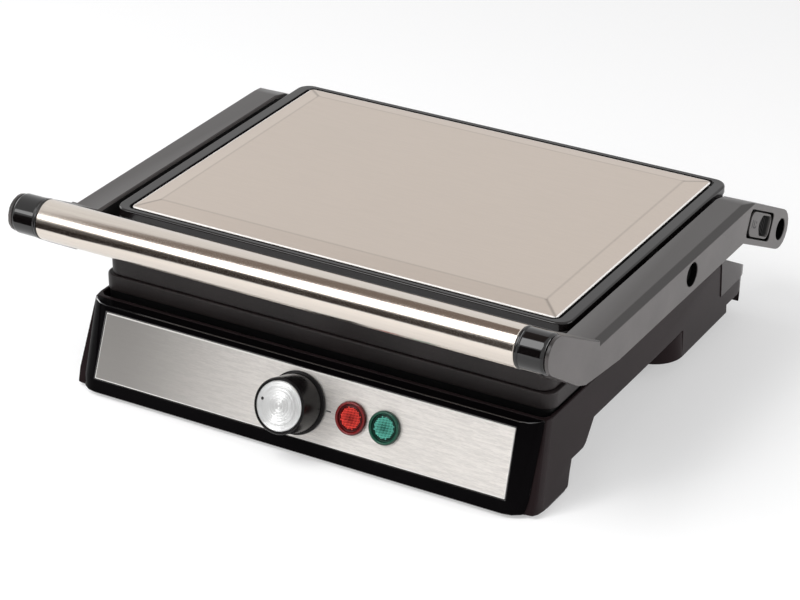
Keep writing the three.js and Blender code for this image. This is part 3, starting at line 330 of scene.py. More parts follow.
def turned_disc(name, colour):
    """Turned aluminium: fine rings about the disc's middle, whose slopes catch the light."""
    finish = Finish(name)
    middle = TO_PANEL @ Vector((0, 0, DIAL_FACE * MM))
    from_middle = finish.vector("SUBTRACT", finish.place, tuple(middle))
    out = finish.vector("LENGTH", from_middle, out="Value")
    rings = finish.node("ShaderNodeTexNoise", {"noise_dimensions": "1D"}, {
        "W": out, "Scale": 5200.0, "Detail": 2.0})
    tilt = finish.node("ShaderNodeVectorMath", {"operation": "SCALE"}, {
        0: finish.vector("NORMALIZE", from_middle), "Scale": (rings - 0.5) * 2.6})
    turned_tilt = finish.node("ShaderNodeVectorTransform", {
        "vector_type": "VECTOR", "convert_from": "OBJECT", "convert_to": "WORLD"}, {"Vector": tilt})
    upright = finish.node("ShaderNodeNewGeometry", out="Normal")
    base = finish.mixed(finish.ramp(rings, 0.3, 0.7) * 0.2, colour, shade(colour, 0.8))
    return finish.surface(
        Base_Color=base,
        Metallic=1.0,
        Roughness=0.3 + (rings - 0.5) * 0.1,
        Normal=finish.vector("NORMALIZE", finish.vector("ADD", upright, turned_tilt)),
    )


def tinted_lens(name, colour, deep, at):
    """Tinted clear plastic of a lamp at a place along the panel, painted deep in its moat and under
    its prisms as painted shade, and lighter at its rim."""
    seat, rim_inner, rim_outer = 1.2 * MM, 8.0 * MM, 10.0 * MM
    finish = Finish(name)
    haze = finish.noise(300, detail=2)
    middle = TO_PANEL @ Vector((at, 0, seat))
    out = finish.vector("DISTANCE", finish.place, tuple(middle), out="Value")
    # Painted shade: away from the rim the lens takes its deep colour
    rim = (finish.ramp(out, rim_inner, rim_inner + 0.7 * MM)
           * finish.ramp(out, rim_outer, rim_outer - 0.6 * MM))
    return finish.surface(
        Base_Color=finish.mixed(rim * (0.6 + haze * 0.4), deep, colour),
        Roughness=0.1 + (haze - 0.5) * 0.06,
        Specular_IOR_Level=0.2,
        Coat_Weight=0.35,
        Coat_Roughness=0.03,
    )


def arm_finish(name, colour, painted_bore_shade):
    """Grey moulding of the arms, with painted shade: darker on their tops, darkest on their
    chamfers, and near-black on the walls of their bores and of the slider's window."""
    hinge_bore, float_bore, bore_soft = 7.5 * MM, 8.0 * MM, 0.5 * MM
    window_middle, half_length, half_width = -36.5 * MM, 22.5 * MM, 10.5 * MM
    window_soft = 0.7 * MM
    finish = Finish(name)
    grainy, marks, base = moulding(finish, colour, 1400, 0.12)
    x, y, z = finish.split(finish.place)
    inside = finish.ramp(abs(x), (ARM_OUTER - 0.15) * MM, (ARM_OUTER - 0.6) * MM)
    flat = finish.vector("MULTIPLY", finish.place, (0, 1, 1))
    # Painted shade: the walls of the bores and of the slider's window are painted near-black
    holes = 0.0
    for middle, radius in ((PIVOT, hinge_bore), (FLOAT_PIVOT, float_bore)):
        out = finish.vector("DISTANCE", flat, tuple(middle), out="Value")
        holes = holes + finish.ramp(out, radius + bore_soft, radius)
    along = (y - PIVOT.y) * cos(EAR) - (z - PIVOT.z) * sin(EAR)
    across = (y - PIVOT.y) * sin(EAR) + (z - PIVOT.z) * cos(EAR)
    window = (finish.ramp(abs(along - window_middle), half_length, half_length - window_soft)
              * finish.ramp(abs(across), half_width, half_width - window_soft))
    # Painted shade: faces turned up are darker, and the chamfers between top and side darkest
    level = finish.split(finish.node("ShaderNodeTexCoord", out="Normal"))[2]
    base = finish.mixed(finish.ramp(level, 0.25, 0.65), base, shade(colour, 0.52))
    chamfer = finish.ramp(level, 0.3, 0.5) * finish.ramp(level, 0.94, 0.85)
    base = finish.mixed(chamfer, base, shade(colour, 0.3))
    return finish.surface(
        Base_Color=finish.mixed(inside * (holes + window).least(1.0), base, painted_bore_shade),
        Roughness=0.3 + (marks - 0.5) * 0.08 + (grainy - 0.5) * 0.08,
        Specular_IOR_Level=0.32,
        Normal=finish.bump(grainy, 0.006 * MM),
    )


def slider_finish(name, colour, face):
    """Grey tile whose scoop is painted darker with depth below its face, to black: painted shade.
    """
    shallow, deep = 0.3 * MM, 1.9 * MM
    finish = Finish(name)
    grainy = finish.noise(1400, detail=2)
    base = finish.mixed(finish.noise(40, detail=3), shade(colour, 0.9), shade(colour, 1.1))
    # Painted shade: below the face the scoop darkens to black with depth
    scoop = finish.ramp(finish.split(finish.place)[0], face - shallow, face - deep)
    return finish.surface(
        Base_Color=finish.mixed(scoop, base, (0.004, 0.004, 0.004)),
        Roughness=0.4 + (grainy - 0.5) * 0.1,
        Specular_IOR_Level=0.3,
        Normal=finish.bump(grainy, 0.008 * MM),
    )


GLOSS_BLACK = moulded(
    "gloss_black", (0.0022, 0.0018, 0.0022), 0.1, depth=0.0006, shine=0.02, polish=0.04)
EDGE_BLACK = moulded(
    "black_edge", (0.004, 0.0035, 0.004), 0.14, depth=0.0006, shine=1.0, coat=0.6, polish=0.04)
CAP_BLACK = moulded(
    "cap_black", (0.003, 0.0024, 0.0026), 0.07, depth=0.0004, shine=0.42, coat=0.2, polish=0.03)
KNOB_BLACK = moulded(
    "knob_black", (0.004, 0.0032, 0.0034), 0.22, depth=0.0008, shine=0.16, polish=0.05)
RING_BLACK = moulded(
    "lid_black", (0.006, 0.0046, 0.0048), 0.13, depth=0.0008, shine=0.32, coat=0.15, polish=0.05)
# The arms' tops, chamfers and bore walls carry painted shade
ARM_GREY = arm_finish("arm_grey", (0.098, 0.089, 0.087), (0.0015, 0.0015, 0.0015))
BASE_BROWN = moulded(
    "base_dark", (0.016, 0.0102, 0.011), 0.24, grain=1400, depth=0.003, shine=0.08)
HOOD_DARK = moulded("hood_dark", (0.04, 0.033, 0.033), 0.2, grain=1400, depth=0.003, shine=0.3)
# Near-black of inner parts: partly their own colour, partly painted shade where bushes sit in bores
INNER_BLACK = moulded("inner_black", (0.006, 0.0055, 0.0055), 0.55, depth=0.01, shine=0.3)
RUBBER = moulded("soft_rubber", (0.008, 0.0075, 0.0075), 0.75, grain=1800, shine=0.3)
SLIDER_GREY = slider_finish("slider_grey", (0.105, 0.098, 0.096), SLIDER_HIGH.x)
COVER_STEEL = brushed(
    "cover_steel", (0.59, 0.522, 0.466), (0.05, 1, 1), 0.5,
    depth=0.0012, cloud=0.02, streak=0.06, grit=0.05, marks=cover_painted_light)
PANEL_STEEL = brushed(
    "panel_steel", (0.86, 0.825, 0.788), (0.1, 1, 1), 0.47,
    depth=0.016, streak=0.5, marks=panel_painted_light)
TUBE_STEEL = brushed(
    "tube_steel", (0.66, 0.6, 0.54), (0.02, 1, 1), 0.14, depth=0.004, cloud=0.03, streak=0.1)
SHEET_STEEL = brushed("sheet_steel", (0.36, 0.36, 0.37), (1, 0.2, 1), 0.42, depth=0.006)
# Near-white finish for the panel's rounded edges: a painted highlight
PAINTED_EDGE_HIGHLIGHT = moulded("painted_edge_highlight", (0.8, 0.78, 0.75), 0.3, depth=0.002, mottle=0.03)
# Hinge pins: near-black and not metal
PIN_STEEL = moulded("near_black_hinge_pin", (0.012, 0.011, 0.011), 0.35, depth=0.002, shine=0.15)
# Float pins painted near-black, so that their bores read dark: painted shade
FLOAT_PIN_SHADE = moulded("float_pin_shade", (0.0016, 0.0016, 0.0016), 0.5, depth=0.004, shine=0.05)
PLATE_COAT = coated_plate("plate_coating", LOWER_RIM_FOOT * MM)
DISC_METAL = turned_disc("turned_aluminium", (0.8, 0.805, 0.8))
REFLECTOR = brushed("reflector_sheet", (0.6, 0.6, 0.61), (1, 0.3, 1), 0.3, depth=0.006)
ELEMENT = moulded("element_sheath", (0.07, 0.06, 0.056), 0.5)
CERAMIC = moulded("block_ceramic", (0.62, 0.57, 0.49), 0.6)
RED_LENS = tinted_lens(
    "red_lens", (0.2, 0.006, 0.007), (0.07, 0.0016, 0.002), span("red_lamp_lens")[2].x)
GREEN_LENS = tinted_lens(
    "green_lens", (0.003, 0.075, 0.042), (0.0006, 0.028, 0.017), span("green_lamp_lens")[2].x)
RED_PRISM = moulded("red_prisms", (0.88, 0.08, 0.062), 0.2, mottle=0.25, shine=0.6)
GREEN_PRISM = moulded("green_prisms", (0.22, 0.78, 0.64), 0.2, mottle=0.25, shine=0.6)
MARK_BLACK = moulded("printed_black", (0.006, 0.006, 0.006), 0.5)


# Mesh helpers
SHARP = 32


def placed(name, data):
    """A new object in the scene."""
    made = bpy.data.objects.new(name, data)
    bpy.context.scene.collection.objects.link(made)
    return made


def link(name, mesh, *finishes):
    """A new piece from a mesh, with its finishes."""
    piece = placed(name, mesh)
    mesh.materials.clear()
    for finish in finishes:
        mesh.materials.append(finish)
    return piece


def from_bmesh(name, built, *finishes, sharp=30):
    """A piece from a bmesh: smooth shading, with sharp edges over an angle in degrees."""
    bmesh.ops.recalc_face_normals(built, faces=built.faces)
    limit = radians(sharp)
    for face in built.faces:
        face.smooth = True
    for edge in built.edges:
        edge.smooth = len(edge.link_faces) == 2 and edge.calc_face_angle() < limit
    mesh = bpy.data.meshes.new(name)
    built.to_mesh(mesh)
    built.free()
    return link(name, mesh, *finishes)


def flattened(piece):
    """Large faces keep their own normals beside rounded edges."""
    piece.modifiers.new("flats", "WEIGHTED_NORMAL").keep_sharp = True
    return piece


def rounded(piece, width, over=30, steps=2):
    """Rounds the edges that turn by over an angle in degrees, by a width in mm."""
    rounding = piece.modifiers.new("rounding", "BEVEL")
    rounding.limit_method = "ANGLE"
    rounding.angle_limit = radians(over)
    rounding.width = width * MM
    rounding.segments = steps
    return rounding


def welded(mesh):
    """A bmesh of a mesh, with corners in the same place made one."""
    built = bmesh.new()
    built.from_mesh(mesh)
    bmesh.ops.remove_doubles(built, verts=built.verts, dist=2e-6)
    return built


def dressed(node, *finishes, edge, steps=3):
    """A fine copy of a CAD node: flat faces joined and edges rounded by a width in mm. With a
    second finish, the rounded edges get it."""
    flat = radians(0.1)
    built = welded(frame["nodes"][node].data)
    bmesh.ops.dissolve_limit(built, angle_limit=flat, verts=built.verts, edges=built.edges)
    bmesh.ops.triangulate(built, faces=[face for face in built.faces if len(face.verts) > 4])
    piece = from_bmesh("fine_" + node, built, *finishes, sharp=SHARP)
    rounding = rounded(piece, edge, SHARP, steps)
    rounding.use_clamp_overlap = False
    rounding.material = len(finishes) - 1
    stand_for(flattened(piece), node)


def baked(piece):
    """Applies a piece's modifiers."""
    bpy.context.view_layer.update()
    shown = piece.evaluated_get(bpy.context.evaluated_depsgraph_get())
    mesh = bpy.data.meshes.new_from_object(shown)
    piece.modifiers.clear()
    piece.data = mesh
    return piece


def carved(piece, cutter, edge=0.0):
    """Cuts one piece with another and rounds the edges by a width in mm."""
    cut = piece.modifiers.new("cut", "BOOLEAN")
    cut.operation = "DIFFERENCE"
    cut.solver = "EXACT"
    cut.object = cutter
    baked(piece)
    bpy.data.objects.remove(cutter)
    built = welded(piece.data)
    finish = piece.data.materials[0]
    name = piece.name
    bpy.data.objects.remove(piece)
    piece = from_bmesh(name, built, finish, sharp=SHARP)
    if edge:
        rounded(piece, edge, 40)
    return flattened(piece)


def body_of(node):
    """The moving group of a CAD node."""
    bodies = frame["record"]["behaviour"]["bodies"]
    return next(body for body, members in bodies.items() if node in members)


def slot_of(node):
    rows = frame["record"]["subparts"]
    return next(row["material_slot"] for row in rows if row["node"] == node)


def with_node(piece, node):
    """The piece goes beside a CAD node, on its body; the node's slot is read but not given to it.
    """
    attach(piece, body_of(node))
    slot_of(node)


def stand_for(piece, node):
    """The piece takes the place and body of a CAD node, whose own solid is hidden."""
    with_node(piece, node)
    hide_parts(node)


def rounded_rect(half, front, rear, corner, steps=8):
    """Outline of a rounded rectangle, counter-clockwise from its front right corner."""
    points = []
    for cx, cy, start in (
        (half - corner, front + corner, -90),
        (half - corner, rear - corner, 0),
        (corner - half, rear - corner, 90),
        (corner - half, front + corner, 180),
    ):
        for i in range(steps + 1):
            turn = radians(start + 90 * i / steps)
            points.append((cx + corner * cos(turn), cy + corner * sin(turn)))
    return points


def skin(built, rings):
    """Side faces through rings of corners with equal counts."""
    for low, high in zip(rings, rings[1:]):
        for i in range(len(low)):
            j = (i + 1) % len(low)
            built.faces.new((low[i], low[j], high[j], high[i]))


def lofted(levels):
    """A closed body through (height, outline) levels in mm with equal point counts."""
    built = bmesh.new()
    rings = [[built.verts.new((x * MM, y * MM, z * MM)) for x, y in points] for z, points in levels]
    skin(built, rings)
    built.faces.new(list(reversed(rings[0])))
    built.faces.new(rings[-1])
    return built


def on_lid(name, levels, finish, sharp=40):
    """A lofted piece placed about the lid's middle."""
    built = lofted(levels)
    bmesh.ops.translate(built, verts=built.verts, vec=(0, LID_Y, 0))
    return flattened(from_bmesh(name, built, finish, sharp=sharp))


def turned(profile, matrix, sides=96):
    """A solid of revolution about Z from (radius, height) points in mm that close on the axis or
    on themselves."""
    built = bmesh.new()
    turns = [2 * pi * i / sides for i in range(sides)]
    rings = []
    for radius, height in profile:
        out = radius * MM
        rings.append([
            built.verts.new((out * cos(turn), out * sin(turn), height * MM))
            for turn in (turns if radius else turns[:1])])
    pairs = list(zip(rings, rings[1:]))
    if len(rings[0]) > 1:
        pairs.append((rings[-1], rings[0]))
    for low, high in pairs:
        for i in range(sides):
            j = (i + 1) % sides
            corners = (low[i], low[j]) if len(low) > 1 else (low[0],)
            corners += (high[j], high[i]) if len(high) > 1 else (high[0],)
            if len(corners) > 2:
                built.faces.new(corners)
    bmesh.ops.transform(built, matrix=matrix, verts=built.verts)
    return built


def eased(points, radius, steps=4):
    """A profile with its corners rounded by a run of up to a radius."""
    out = [points[0]]
    for before, corner, after in zip(points, points[1:], points[2:]):
        a, b, c = Vector(before), Vector(corner), Vector(after)
        reach = min(radius, (a - b).length * 0.45, (c - b).length * 0.45)
        start = b + (a - b).normalized() * reach
        end = b + (c - b).normalized() * reach
        for i in range(steps + 1):
            t = i / steps
            p = start * (1 - t) ** 2 + b * 2 * t * (1 - t) + end * t ** 2
            out.append((p.x, p.y))
    out.append(points[-1])
    return out


def turned_piece(name, profile, matrix, finish, ease=0.2, sides=48, sharp=40):
    """A turned piece whose profile is eased at its corners, by up to a length in mm."""
    built = turned(eased(profile, ease), matrix, sides)
    return flattened(from_bmesh(name, built, finish, sharp=sharp))


def bar(name, size, middle, matrix, finish, edge):
    """A small block of a given size in mm, about a middle in the frame of a matrix."""
    built = bmesh.new()
    bmesh.ops.create_cube(built, size=1.0)
    grow = Matrix.Diagonal((*(part * MM for part in size), 1))
    place = matrix @ Matrix.Translation(Vector(middle) * MM) @ grow
    bmesh.ops.transform(built, matrix=place, verts=built.verts)
    piece = from_bmesh(name, built, finish)
    rounded(piece, edge)
    return piece


# Repeated forms, as Geometry Nodes
def joined(tree, *links):
    """Links an output of one node to an input of another, by their names or numbers."""
    for source, output, target, entry in links:
        tree.links.new(source.outputs[output], target.inputs[entry])


def new_tree(name, **inputs):
    """A geometry tree with a geometry input, named inputs and its output."""
    tree = bpy.data.node_groups.new(name, "GeometryNodeTree")
    tree.interface.new_socket(name="Geometry", in_out="INPUT", socket_type="NodeSocketGeometry")
    for label, kind in (*inputs.items(), ("Finish", "Material")):
        tree.interface.new_socket(name=label, in_out="INPUT", socket_type="NodeSocket" + kind)
    tree.interface.new_socket(name="Geometry", in_out="OUTPUT", socket_type="NodeSocketGeometry")
    return tree, tree.nodes.new("NodeGroupInput"), tree.nodes.new("NodeGroupOutput")


def finish_tree(tree, start, end, places, turns=None):
    """Sets one copy of the input on each point of a node, turned as a second node says, makes the
    copies real and gives them their finish."""
    copies = tree.nodes.new("GeometryNodeInstanceOnPoints")
    real = tree.nodes.new("GeometryNodeRealizeInstances")
    paint = tree.nodes.new("GeometryNodeSetMaterial")
    if turns:
        joined(tree, (turns, 0, copies, "Rotation"))
    joined(
        tree, (places, 0, copies, "Points"), (start, "Geometry", copies, "Instance"),
        (copies, 0, real, 0), (real, 0, paint, "Geometry"), (start, "Finish", paint, "Material"),
        (paint, 0, end, 0))
    return tree


def row_tree():
    """Copies in a straight row."""
    tree, start, end = new_tree("row", Count="Int", First="Vector", Step="Vector")
    line = tree.nodes.new("GeometryNodeMeshLine")
    line.mode = "OFFSET"
    joined(
        tree, (start, "Count", line, "Count"), (start, "First", line, "Start Location"),
        (start, "Step", line, "Offset"))
    return finish_tree(tree, start, end, line)


def disc_tree():
    """Copies on a square grid, kept inside a circle."""
    tree, start, end = new_tree("disc", Radius="Float", Side="Float", Count="Int")
    grid = tree.nodes.new("GeometryNodeMeshGrid")
    place = tree.nodes.new("GeometryNodeInputPosition")
    length = tree.nodes.new("ShaderNodeVectorMath")
    length.operation = "LENGTH"
    outside = tree.nodes.new("FunctionNodeCompare")
    outside.operation = "GREATER_THAN"
    cut = tree.nodes.new("GeometryNodeDeleteGeometry")
    joined(
        tree, (start, "Side", grid, "Size X"), (start, "Side", grid, "Size Y"),
        (start, "Count", grid, "Vertices X"), (start, "Count", grid, "Vertices Y"),
        (place, 0, length, 0), (length, "Value", outside, 0), (start, "Radius", outside, 1),
        (grid, "Mesh", cut, "Geometry"), (outside, 0, cut, "Selection"))
    return finish_tree(tree, start, end, cut)


def ring_tree():
    """Copies round a circle in XY, each turned to face outwards."""
    tree, start, end = new_tree("ring", Radius="Float", Count="Int")
    circle = tree.nodes.new("GeometryNodeMeshCircle")
    place = tree.nodes.new("GeometryNodeInputPosition")
    aim = tree.nodes.new("FunctionNodeAlignEulerToVector")
    aim.axis = "X"
    aim.pivot_axis = "Z"
    joined(
        tree, (start, "Count", circle, "Vertices"), (start, "Radius", circle, "Radius"),
        (place, 0, aim, "Vector"))
    return finish_tree(tree, start, end, circle, aim)


def grown(piece, tree, matrix=None, **values):
    """Runs a tree on a piece and keeps the plain mesh, set in its place."""
    modifier = piece.modifiers.new("grow", "NODES")
    modifier.node_group = tree
    for item in tree.interface.items_tree:
        if item.in_out == "INPUT" and item.name in values:
            modifier[item.identifier] = values[item.name]
    baked(piece)
    if matrix is not None:
        piece.data.transform(matrix)
    return piece


ROW = row_tree()
DISC = disc_tree()
RING = ring_tree()


# Lid
def quarter(radius, steps, start=0, end=90):
    """Points of an arc about zero, from one angle to another."""
    turns = (radians(start + (end - start) * i / steps) for i in range(steps + 1))
    return [(radius * cos(turn), radius * sin(turn)) for turn in turns]


def lid_housing():
    """Gloss black ring round the cover, a narrow bright ledge below it and the sloping front."""
    stand = (LID_Y - HOUSING_LOW.y) / MM - RING_REACH
    foot = HOUSING_LOW.z / MM
    wall, corner, side = 2.2, 9, RING_HALF - 2.2
    band, slope, gap, trough = 5.6, 9, 1.9, 2.4
    ledge_round, ring_round, soft = 1.5, 1.4, 0.8
    shoulder = LID_TOP - band - slope
    ledge = LID_TOP - band - ledge_round + 0.2

    def level(z, half, ahead, behind, radius=corner):
        return z, rounded_rect(half, -RING_REACH - ahead, RING_REACH - behind, radius)

    levels = [
        level(LID_TOP - 4, side - 2 * wall, -2 * wall, 3 * wall, corner / 2),
        level(foot + wall / 4, side - wall, stand - wall, 2 * wall, corner - wall),
        level(foot, side - soft, stand - soft, wall + soft, corner - soft),
        level(foot + soft / 2, side, stand, wall),
        level(shoulder - soft, side, stand, wall),
        level(shoulder, side, stand - soft / 8, wall),
        level(shoulder + soft, side + soft / 6, stand - soft, wall),
        level(ledge - ledge_round * 1.3, RING_HALF - 1.3, ledge_round * 1.7, 1.2),
        level(ledge - ledge_round, RING_HALF - 1.2, ledge_round * 0.7, 1.1),
    ]
    for out, up in quarter(ledge_round, 7, -50, 88):
        levels.append(level(ledge + up, RING_HALF - 0.5, out + 0.3, 0.5))
    levels.append(level(ledge + ledge_round + 0.25, RING_HALF - 0.1, 0.05, 0.1))
    levels.append(level(ledge + ledge_round + 0.5, RING_HALF, 0, 0))
    for out, up in quarter(ring_round, 6):
        inset = ring_round - out
        levels.append(level(
            LID_TOP - ring_round + up, RING_HALF - inset, -inset, inset, corner - inset))
    groove = ((0.1, gap + 0.35), (0.4, gap + 0.1), (trough, gap), (trough, -0.6), (1.3, -0.8))
    for drop, edge in groove:
        reach = COVER_REACH + edge
        levels.append((LID_TOP - drop, rounded_rect(COVER_HALF + edge, -reach, reach, 3 + edge)))
    stand_for(on_lid("lid_housing", levels, RING_BLACK, 38), "upper_housing")


def cover_sheet():
    """Steel cover with a sloping border and mitred corners."""
    sheet, slope = 0.9, 13
    edge = LID_TOP

    def level(z, inset, corner):
        return z, rounded_rect(COVER_HALF - inset, inset - COVER_REACH, COVER_REACH - inset, corner)

    top = COVER_HIGH.z / MM
    levels = [
        level(edge - sheet, sheet, 2.2), level(edge - sheet, 0.2, 2.8),
        level(edge - sheet / 2, 0, 3),
    ]
    for out, up in quarter(0.6, 5):
        levels.append(level(edge - 0.5 + up, 0.6 - out, 2.4 + out))
    levels += [
        level(edge + 0.3, 1.3, 2), level(top - 0.12, slope - 0.7, 0.9),
        level(top - 0.03, slope - 0.1, 0.8), level(top, slope + 0.6, 0.7),
        level(top, slope + 3, 0.7),
    ]
    stand_for(on_lid("cover_sheet", levels, COVER_STEEL), "top_cover")


lid_housing()
cover_sheet()


# Handle
def handle():
    """Drawn steel tube between its two end caps."""
    end = TUBE_HIGH.x / MM
    radius, sheet, chamfer = TUBE_RADIUS, 1.2, 0.35
    tube = [
        (radius - sheet, -end), (radius - chamfer, -end), (radius, chamfer - end),
        (radius, end - chamfer), (radius - chamfer, end), (radius - sheet, end),
    ]
    piece = from_bmesh("bar_tube", turned(tube, sideways(HANDLE), 128), TUBE_STEEL)
    stand_for(flattened(piece), "handle_tube")
    cap_low, cap_high, _ = span("handle_cap_right")
    seat = 0.3
    spigot_end, inner, outer = cap_low.x / MM, end + seat, cap_high.x / MM
    lip = (cap_high.z - HANDLE.z) / MM
    barrel, groove = lip - 0.3, lip - 0.55
    spigot, bore, turn = radius - sheet - seat, 3.3, 2.2
    cap = [
        (bore, spigot_end), (spigot, spigot_end), (spigot, inner), (lip - 0.4, inner),
        (lip, inner + 0.4), (lip, inner + 1.5), (groove, inner + 1.8), (groove, inner + 2.1),
        (barrel, inner + 2.5),
    ]
    cap += [(barrel - turn + out, outer - turn + up) for out, up in quarter(turn, 8)]
    cap.append((bore, outer))
    for name, side in SIDES:
        built = turned(eased(cap, 0.3, 2), sideways(HANDLE, side))
        piece = from_bmesh("bar_cap_" + name, built, CAP_BLACK, sharp=45)
        stand_for(flattened(piece), "handle_cap_" + name)


handle()


# Dial, its index and the lamps
def dial():
    """Dial with its turned disc, a dot on the disc and an index line on the panel."""
    face, disc = DIAL_FACE, 15
    body = [
        (0, face - 1.6), (disc + 0.3, face - 1.6), (disc + 0.3, face - 0.4), (disc + 0.7, face),
        (disc + 1.1, face), (disc + 1.8, face - 0.7), (17.6, 2.4), (18.1, 2.3), (18.8, 2.2),
        (19, 1.8), (19, 0.5), (0, 0.5),
    ]
    stand_for(turned_piece("dial_body", body, TO_PANEL, KNOB_BLACK, 0.35, 128), "knob")
    metal = [
        (0, face - 1.4), (disc - 0.3, face - 1.4), (disc, face - 1.1), (disc, face - 0.45),
        (disc - 0.35, face - 0.15), (0, face - 0.15),
    ]
    stand_for(from_bmesh("dial_disc", turned(metal, TO_PANEL, 128), DISC_METAL), "knob_disc")
    dot = [(0, face - 0.4), (0.95, face - 0.4), (0.95, face - 0.08), (0, face - 0.08)]
    lay = TO_PANEL @ Matrix.Translation((-11.4 * MM, 1.9 * MM, 0))
    with_node(from_bmesh("dial_dot", turned(dot, lay, 32), MARK_BLACK), "knob_disc")
    index = bar("dial_index", (3.2, 0.7, 0.12), (21.2, 0, 0.04), TO_PANEL, MARK_BLACK, 0.03)
    with_node(index, "control_panel")


def lamps():
    """Lenses with a raised rim, a moat inside it and a middle patterned with small prisms."""
    bezel = [
        (0, -9), (7.6, -9), (7.6, 0.3), (10.2, 0.3), (10.2, 1.3), (9.8, 2.2), (9.1, 2.6),
        (8.5, 2.4), (8.1, 1.5), (7.9, 0.75), (7.4, 0.7), (7.15, 1.1), (6.8, 1.35), (0, 1.7),
    ]
    foot, tip, height = 0.6 * MM, 0.14 * MM, 0.5 * MM
    field, across, seat, turn = 6.4 * MM, 15, 1.62 * MM, radians(20)
    for name, clear, prisms in (("red", RED_LENS, RED_PRISM), ("green", GREEN_LENS, GREEN_PRISM)):
        node = name + "_lamp_lens"
        lay = TO_PANEL @ Matrix.Translation((span(node)[2].x, 0, 0))
        stand_for(turned_piece(name + "_lens", bezel, lay, clear, 0.3, 96, 60), node)
        cone = bmesh.new()
        bmesh.ops.create_cone(cone, segments=4, radius1=foot, radius2=tip, depth=height,
                              cap_ends=True)
        seed = from_bmesh(name + "_prisms", cone, prisms, sharp=20)
        place = lay @ Matrix.Translation((0, 0, seat)) @ Matrix.Rotation(turn, 4, "Z")
        grown(seed, DISC, place, Radius=field, Side=2 * field, Count=across, Finish=prisms)
        with_node(seed, node)


dial()
lamps()


# Cooking plates
def plate(node, name, levels, foot, crest, front, rear):
    """A plate's body and its row of ribs, whose ends slope to the floor."""
    stand_for(on_lid(name, levels, PLATE_COAT), node)
    half_foot, half_crest, soft, run, each_side, pitch = 2.6, 1.3, 0.3, 2.2, 10, 13.2
    drop = copysign(soft, crest - foot)
    section = [
        (-half_foot, foot), (-half_crest - soft / 2, crest - drop), (soft - half_crest, crest),
        (half_crest - soft, crest), (half_crest + soft / 2, crest - drop), (half_foot, foot),
    ]
    comb = bmesh.new()
    ends = []
    for y, share in ((front, 0.1), (front + run, 1), (rear - run, 1), (rear, 0.1)):
        ends.append([
            comb.verts.new((x * MM, y * MM + LID_Y, (foot + (z - foot) * share) * MM))
            for x, z in section])
    skin(comb, ends)
    comb.faces.new(ends[0])
    comb.faces.new(list(reversed(ends[-1])))
    ribs = from_bmesh(name + "_ribs", comb, PLATE_COAT, sharp=35)
    grown(ribs, ROW, Count=2 * each_side + 1, First=(-each_side * pitch * MM, 0, 0),
          Step=(pitch * MM, 0, 0), Finish=PLATE_COAT)
    with_node(ribs, node)


def plates():
    """The lower plate with its skirt, and the upper plate turned over above it."""
    rim, edge, wall, margin = 7, 0.9, 3, 11
    low_corner, high_corner, _ = span("lower_grill_plate")
    half, top = high_corner.x / MM, high_corner.z / MM
    front, rear = (low_corner.y - LID_Y) / MM, (high_corner.y - LID_Y) / MM
    skirt_foot, rim_foot, floor = low_corner.z / MM, top - 10.4, top - 6
    skirt, skirt_front, skirt_rear = half - 1.7, front + 1.6, rear - 7.7

    def level(z, inset, corner=8.0):
        """A level of whichever plate is being built."""
        return z, rounded_rect(half - inset, front + inset, rear - inset, corner)

    def cooking_face(lip, floor, up):
        """Levels from the rim's outside over its lip and in to the floor; up is 1 or -1."""
        rows = (
            (lip - up, 0), (lip - 0.4 * up, 0.2), (lip - 0.1 * up, 0.5), (lip, edge),
            (lip, rim - 0.4, 4.2), (lip - 0.1 * up, rim, 4), (floor + 0.7 * up, rim + 0.9, 3.4),
            (floor + 0.1 * up, rim + 1.2, 3), (floor, rim + 1.9, 2.6),
        )
        return [level(*row) for row in rows]

    hollow = rounded_rect(skirt - wall, skirt_front + wall, skirt_rear - wall, 2)
    outside = rounded_rect(skirt, skirt_front, skirt_rear, 4)
    levels = [
        (floor - 2.8, hollow), (skirt_foot, hollow), (skirt_foot, outside), (rim_foot, outside),
        level(rim_foot, edge), level(rim_foot + 0.3, 0.3), level(rim_foot + 0.8, 0),
        *cooking_face(top, floor, 1),
    ]
    plate("lower_grill_plate", "lower_plate", levels, floor, floor + 4.4, front + margin,
          rear - margin)
    low_corner, high_corner, _ = span("upper_grill_plate")
    half, foot, top = high_corner.x / MM, low_corner.z / MM, high_corner.z / MM
    front, rear = (low_corner.y - LID_Y) / MM, (high_corner.y - LID_Y) / MM
    floor = foot + 6.4
    levels = [
        *reversed(cooking_face(foot, floor, -1)),
        level(top - 0.3, 0), level(top, 0.4), level(top, rim, 4), level(top - 1.7, rim, 4),
    ]
    plate("upper_grill_plate", "upper_plate", levels, floor, floor - 3.9, front + margin,
          rear - margin)


plates()


# Small pieces
def pins():
    """Hinge pins with a dished end and float pins with a flat head, from inside outwards."""
    hinge = [(0, 129.7), (4.4, 129.7), (5, 130.3), (5, 173.2), (4.2, 174), (2.2, 174),
             (1.8, 173), (0, 173)]
    floating = [(0, 147.3), (4.5, 147.3), (4.5, 172.5), (6.8, 172.5), (6.8, 174.6),
                (6, 175.5), (0, 175.5)]
    for name, side in SIDES:
        for kind, middle, profile, finish in (
            ("hinge_pin_", PIVOT, hinge, PIN_STEEL),
            ("float_pin_", FLOAT_PIVOT, floating, FLOAT_PIN_SHADE),
        ):
            node = kind + name
            stand_for(turned_piece("fine_" + node, profile, sideways(middle, side), finish), node)


def feet():
    """Rubber feet with a shallow hollow below and a stem into the base."""
    stem, stem_height = 4, 4
    for corner in CORNERS:
        node = "foot_" + corner
        _, high, middle = span(node)
        top = high.z / MM
        pad = top - stem_height
        profile = [
            (0, 0.5), (4.5, 0.5), (4.9, 0), (7.9, 0), (8.6, 0.3), (9, 0.9), (9, pad), (stem, pad),
            (stem, top), (0, top),
        ]
        lay = Matrix.Translation((middle.x, middle.y, 0))
        stand_for(turned_piece("fine_" + node, profile, lay, RUBBER), node)


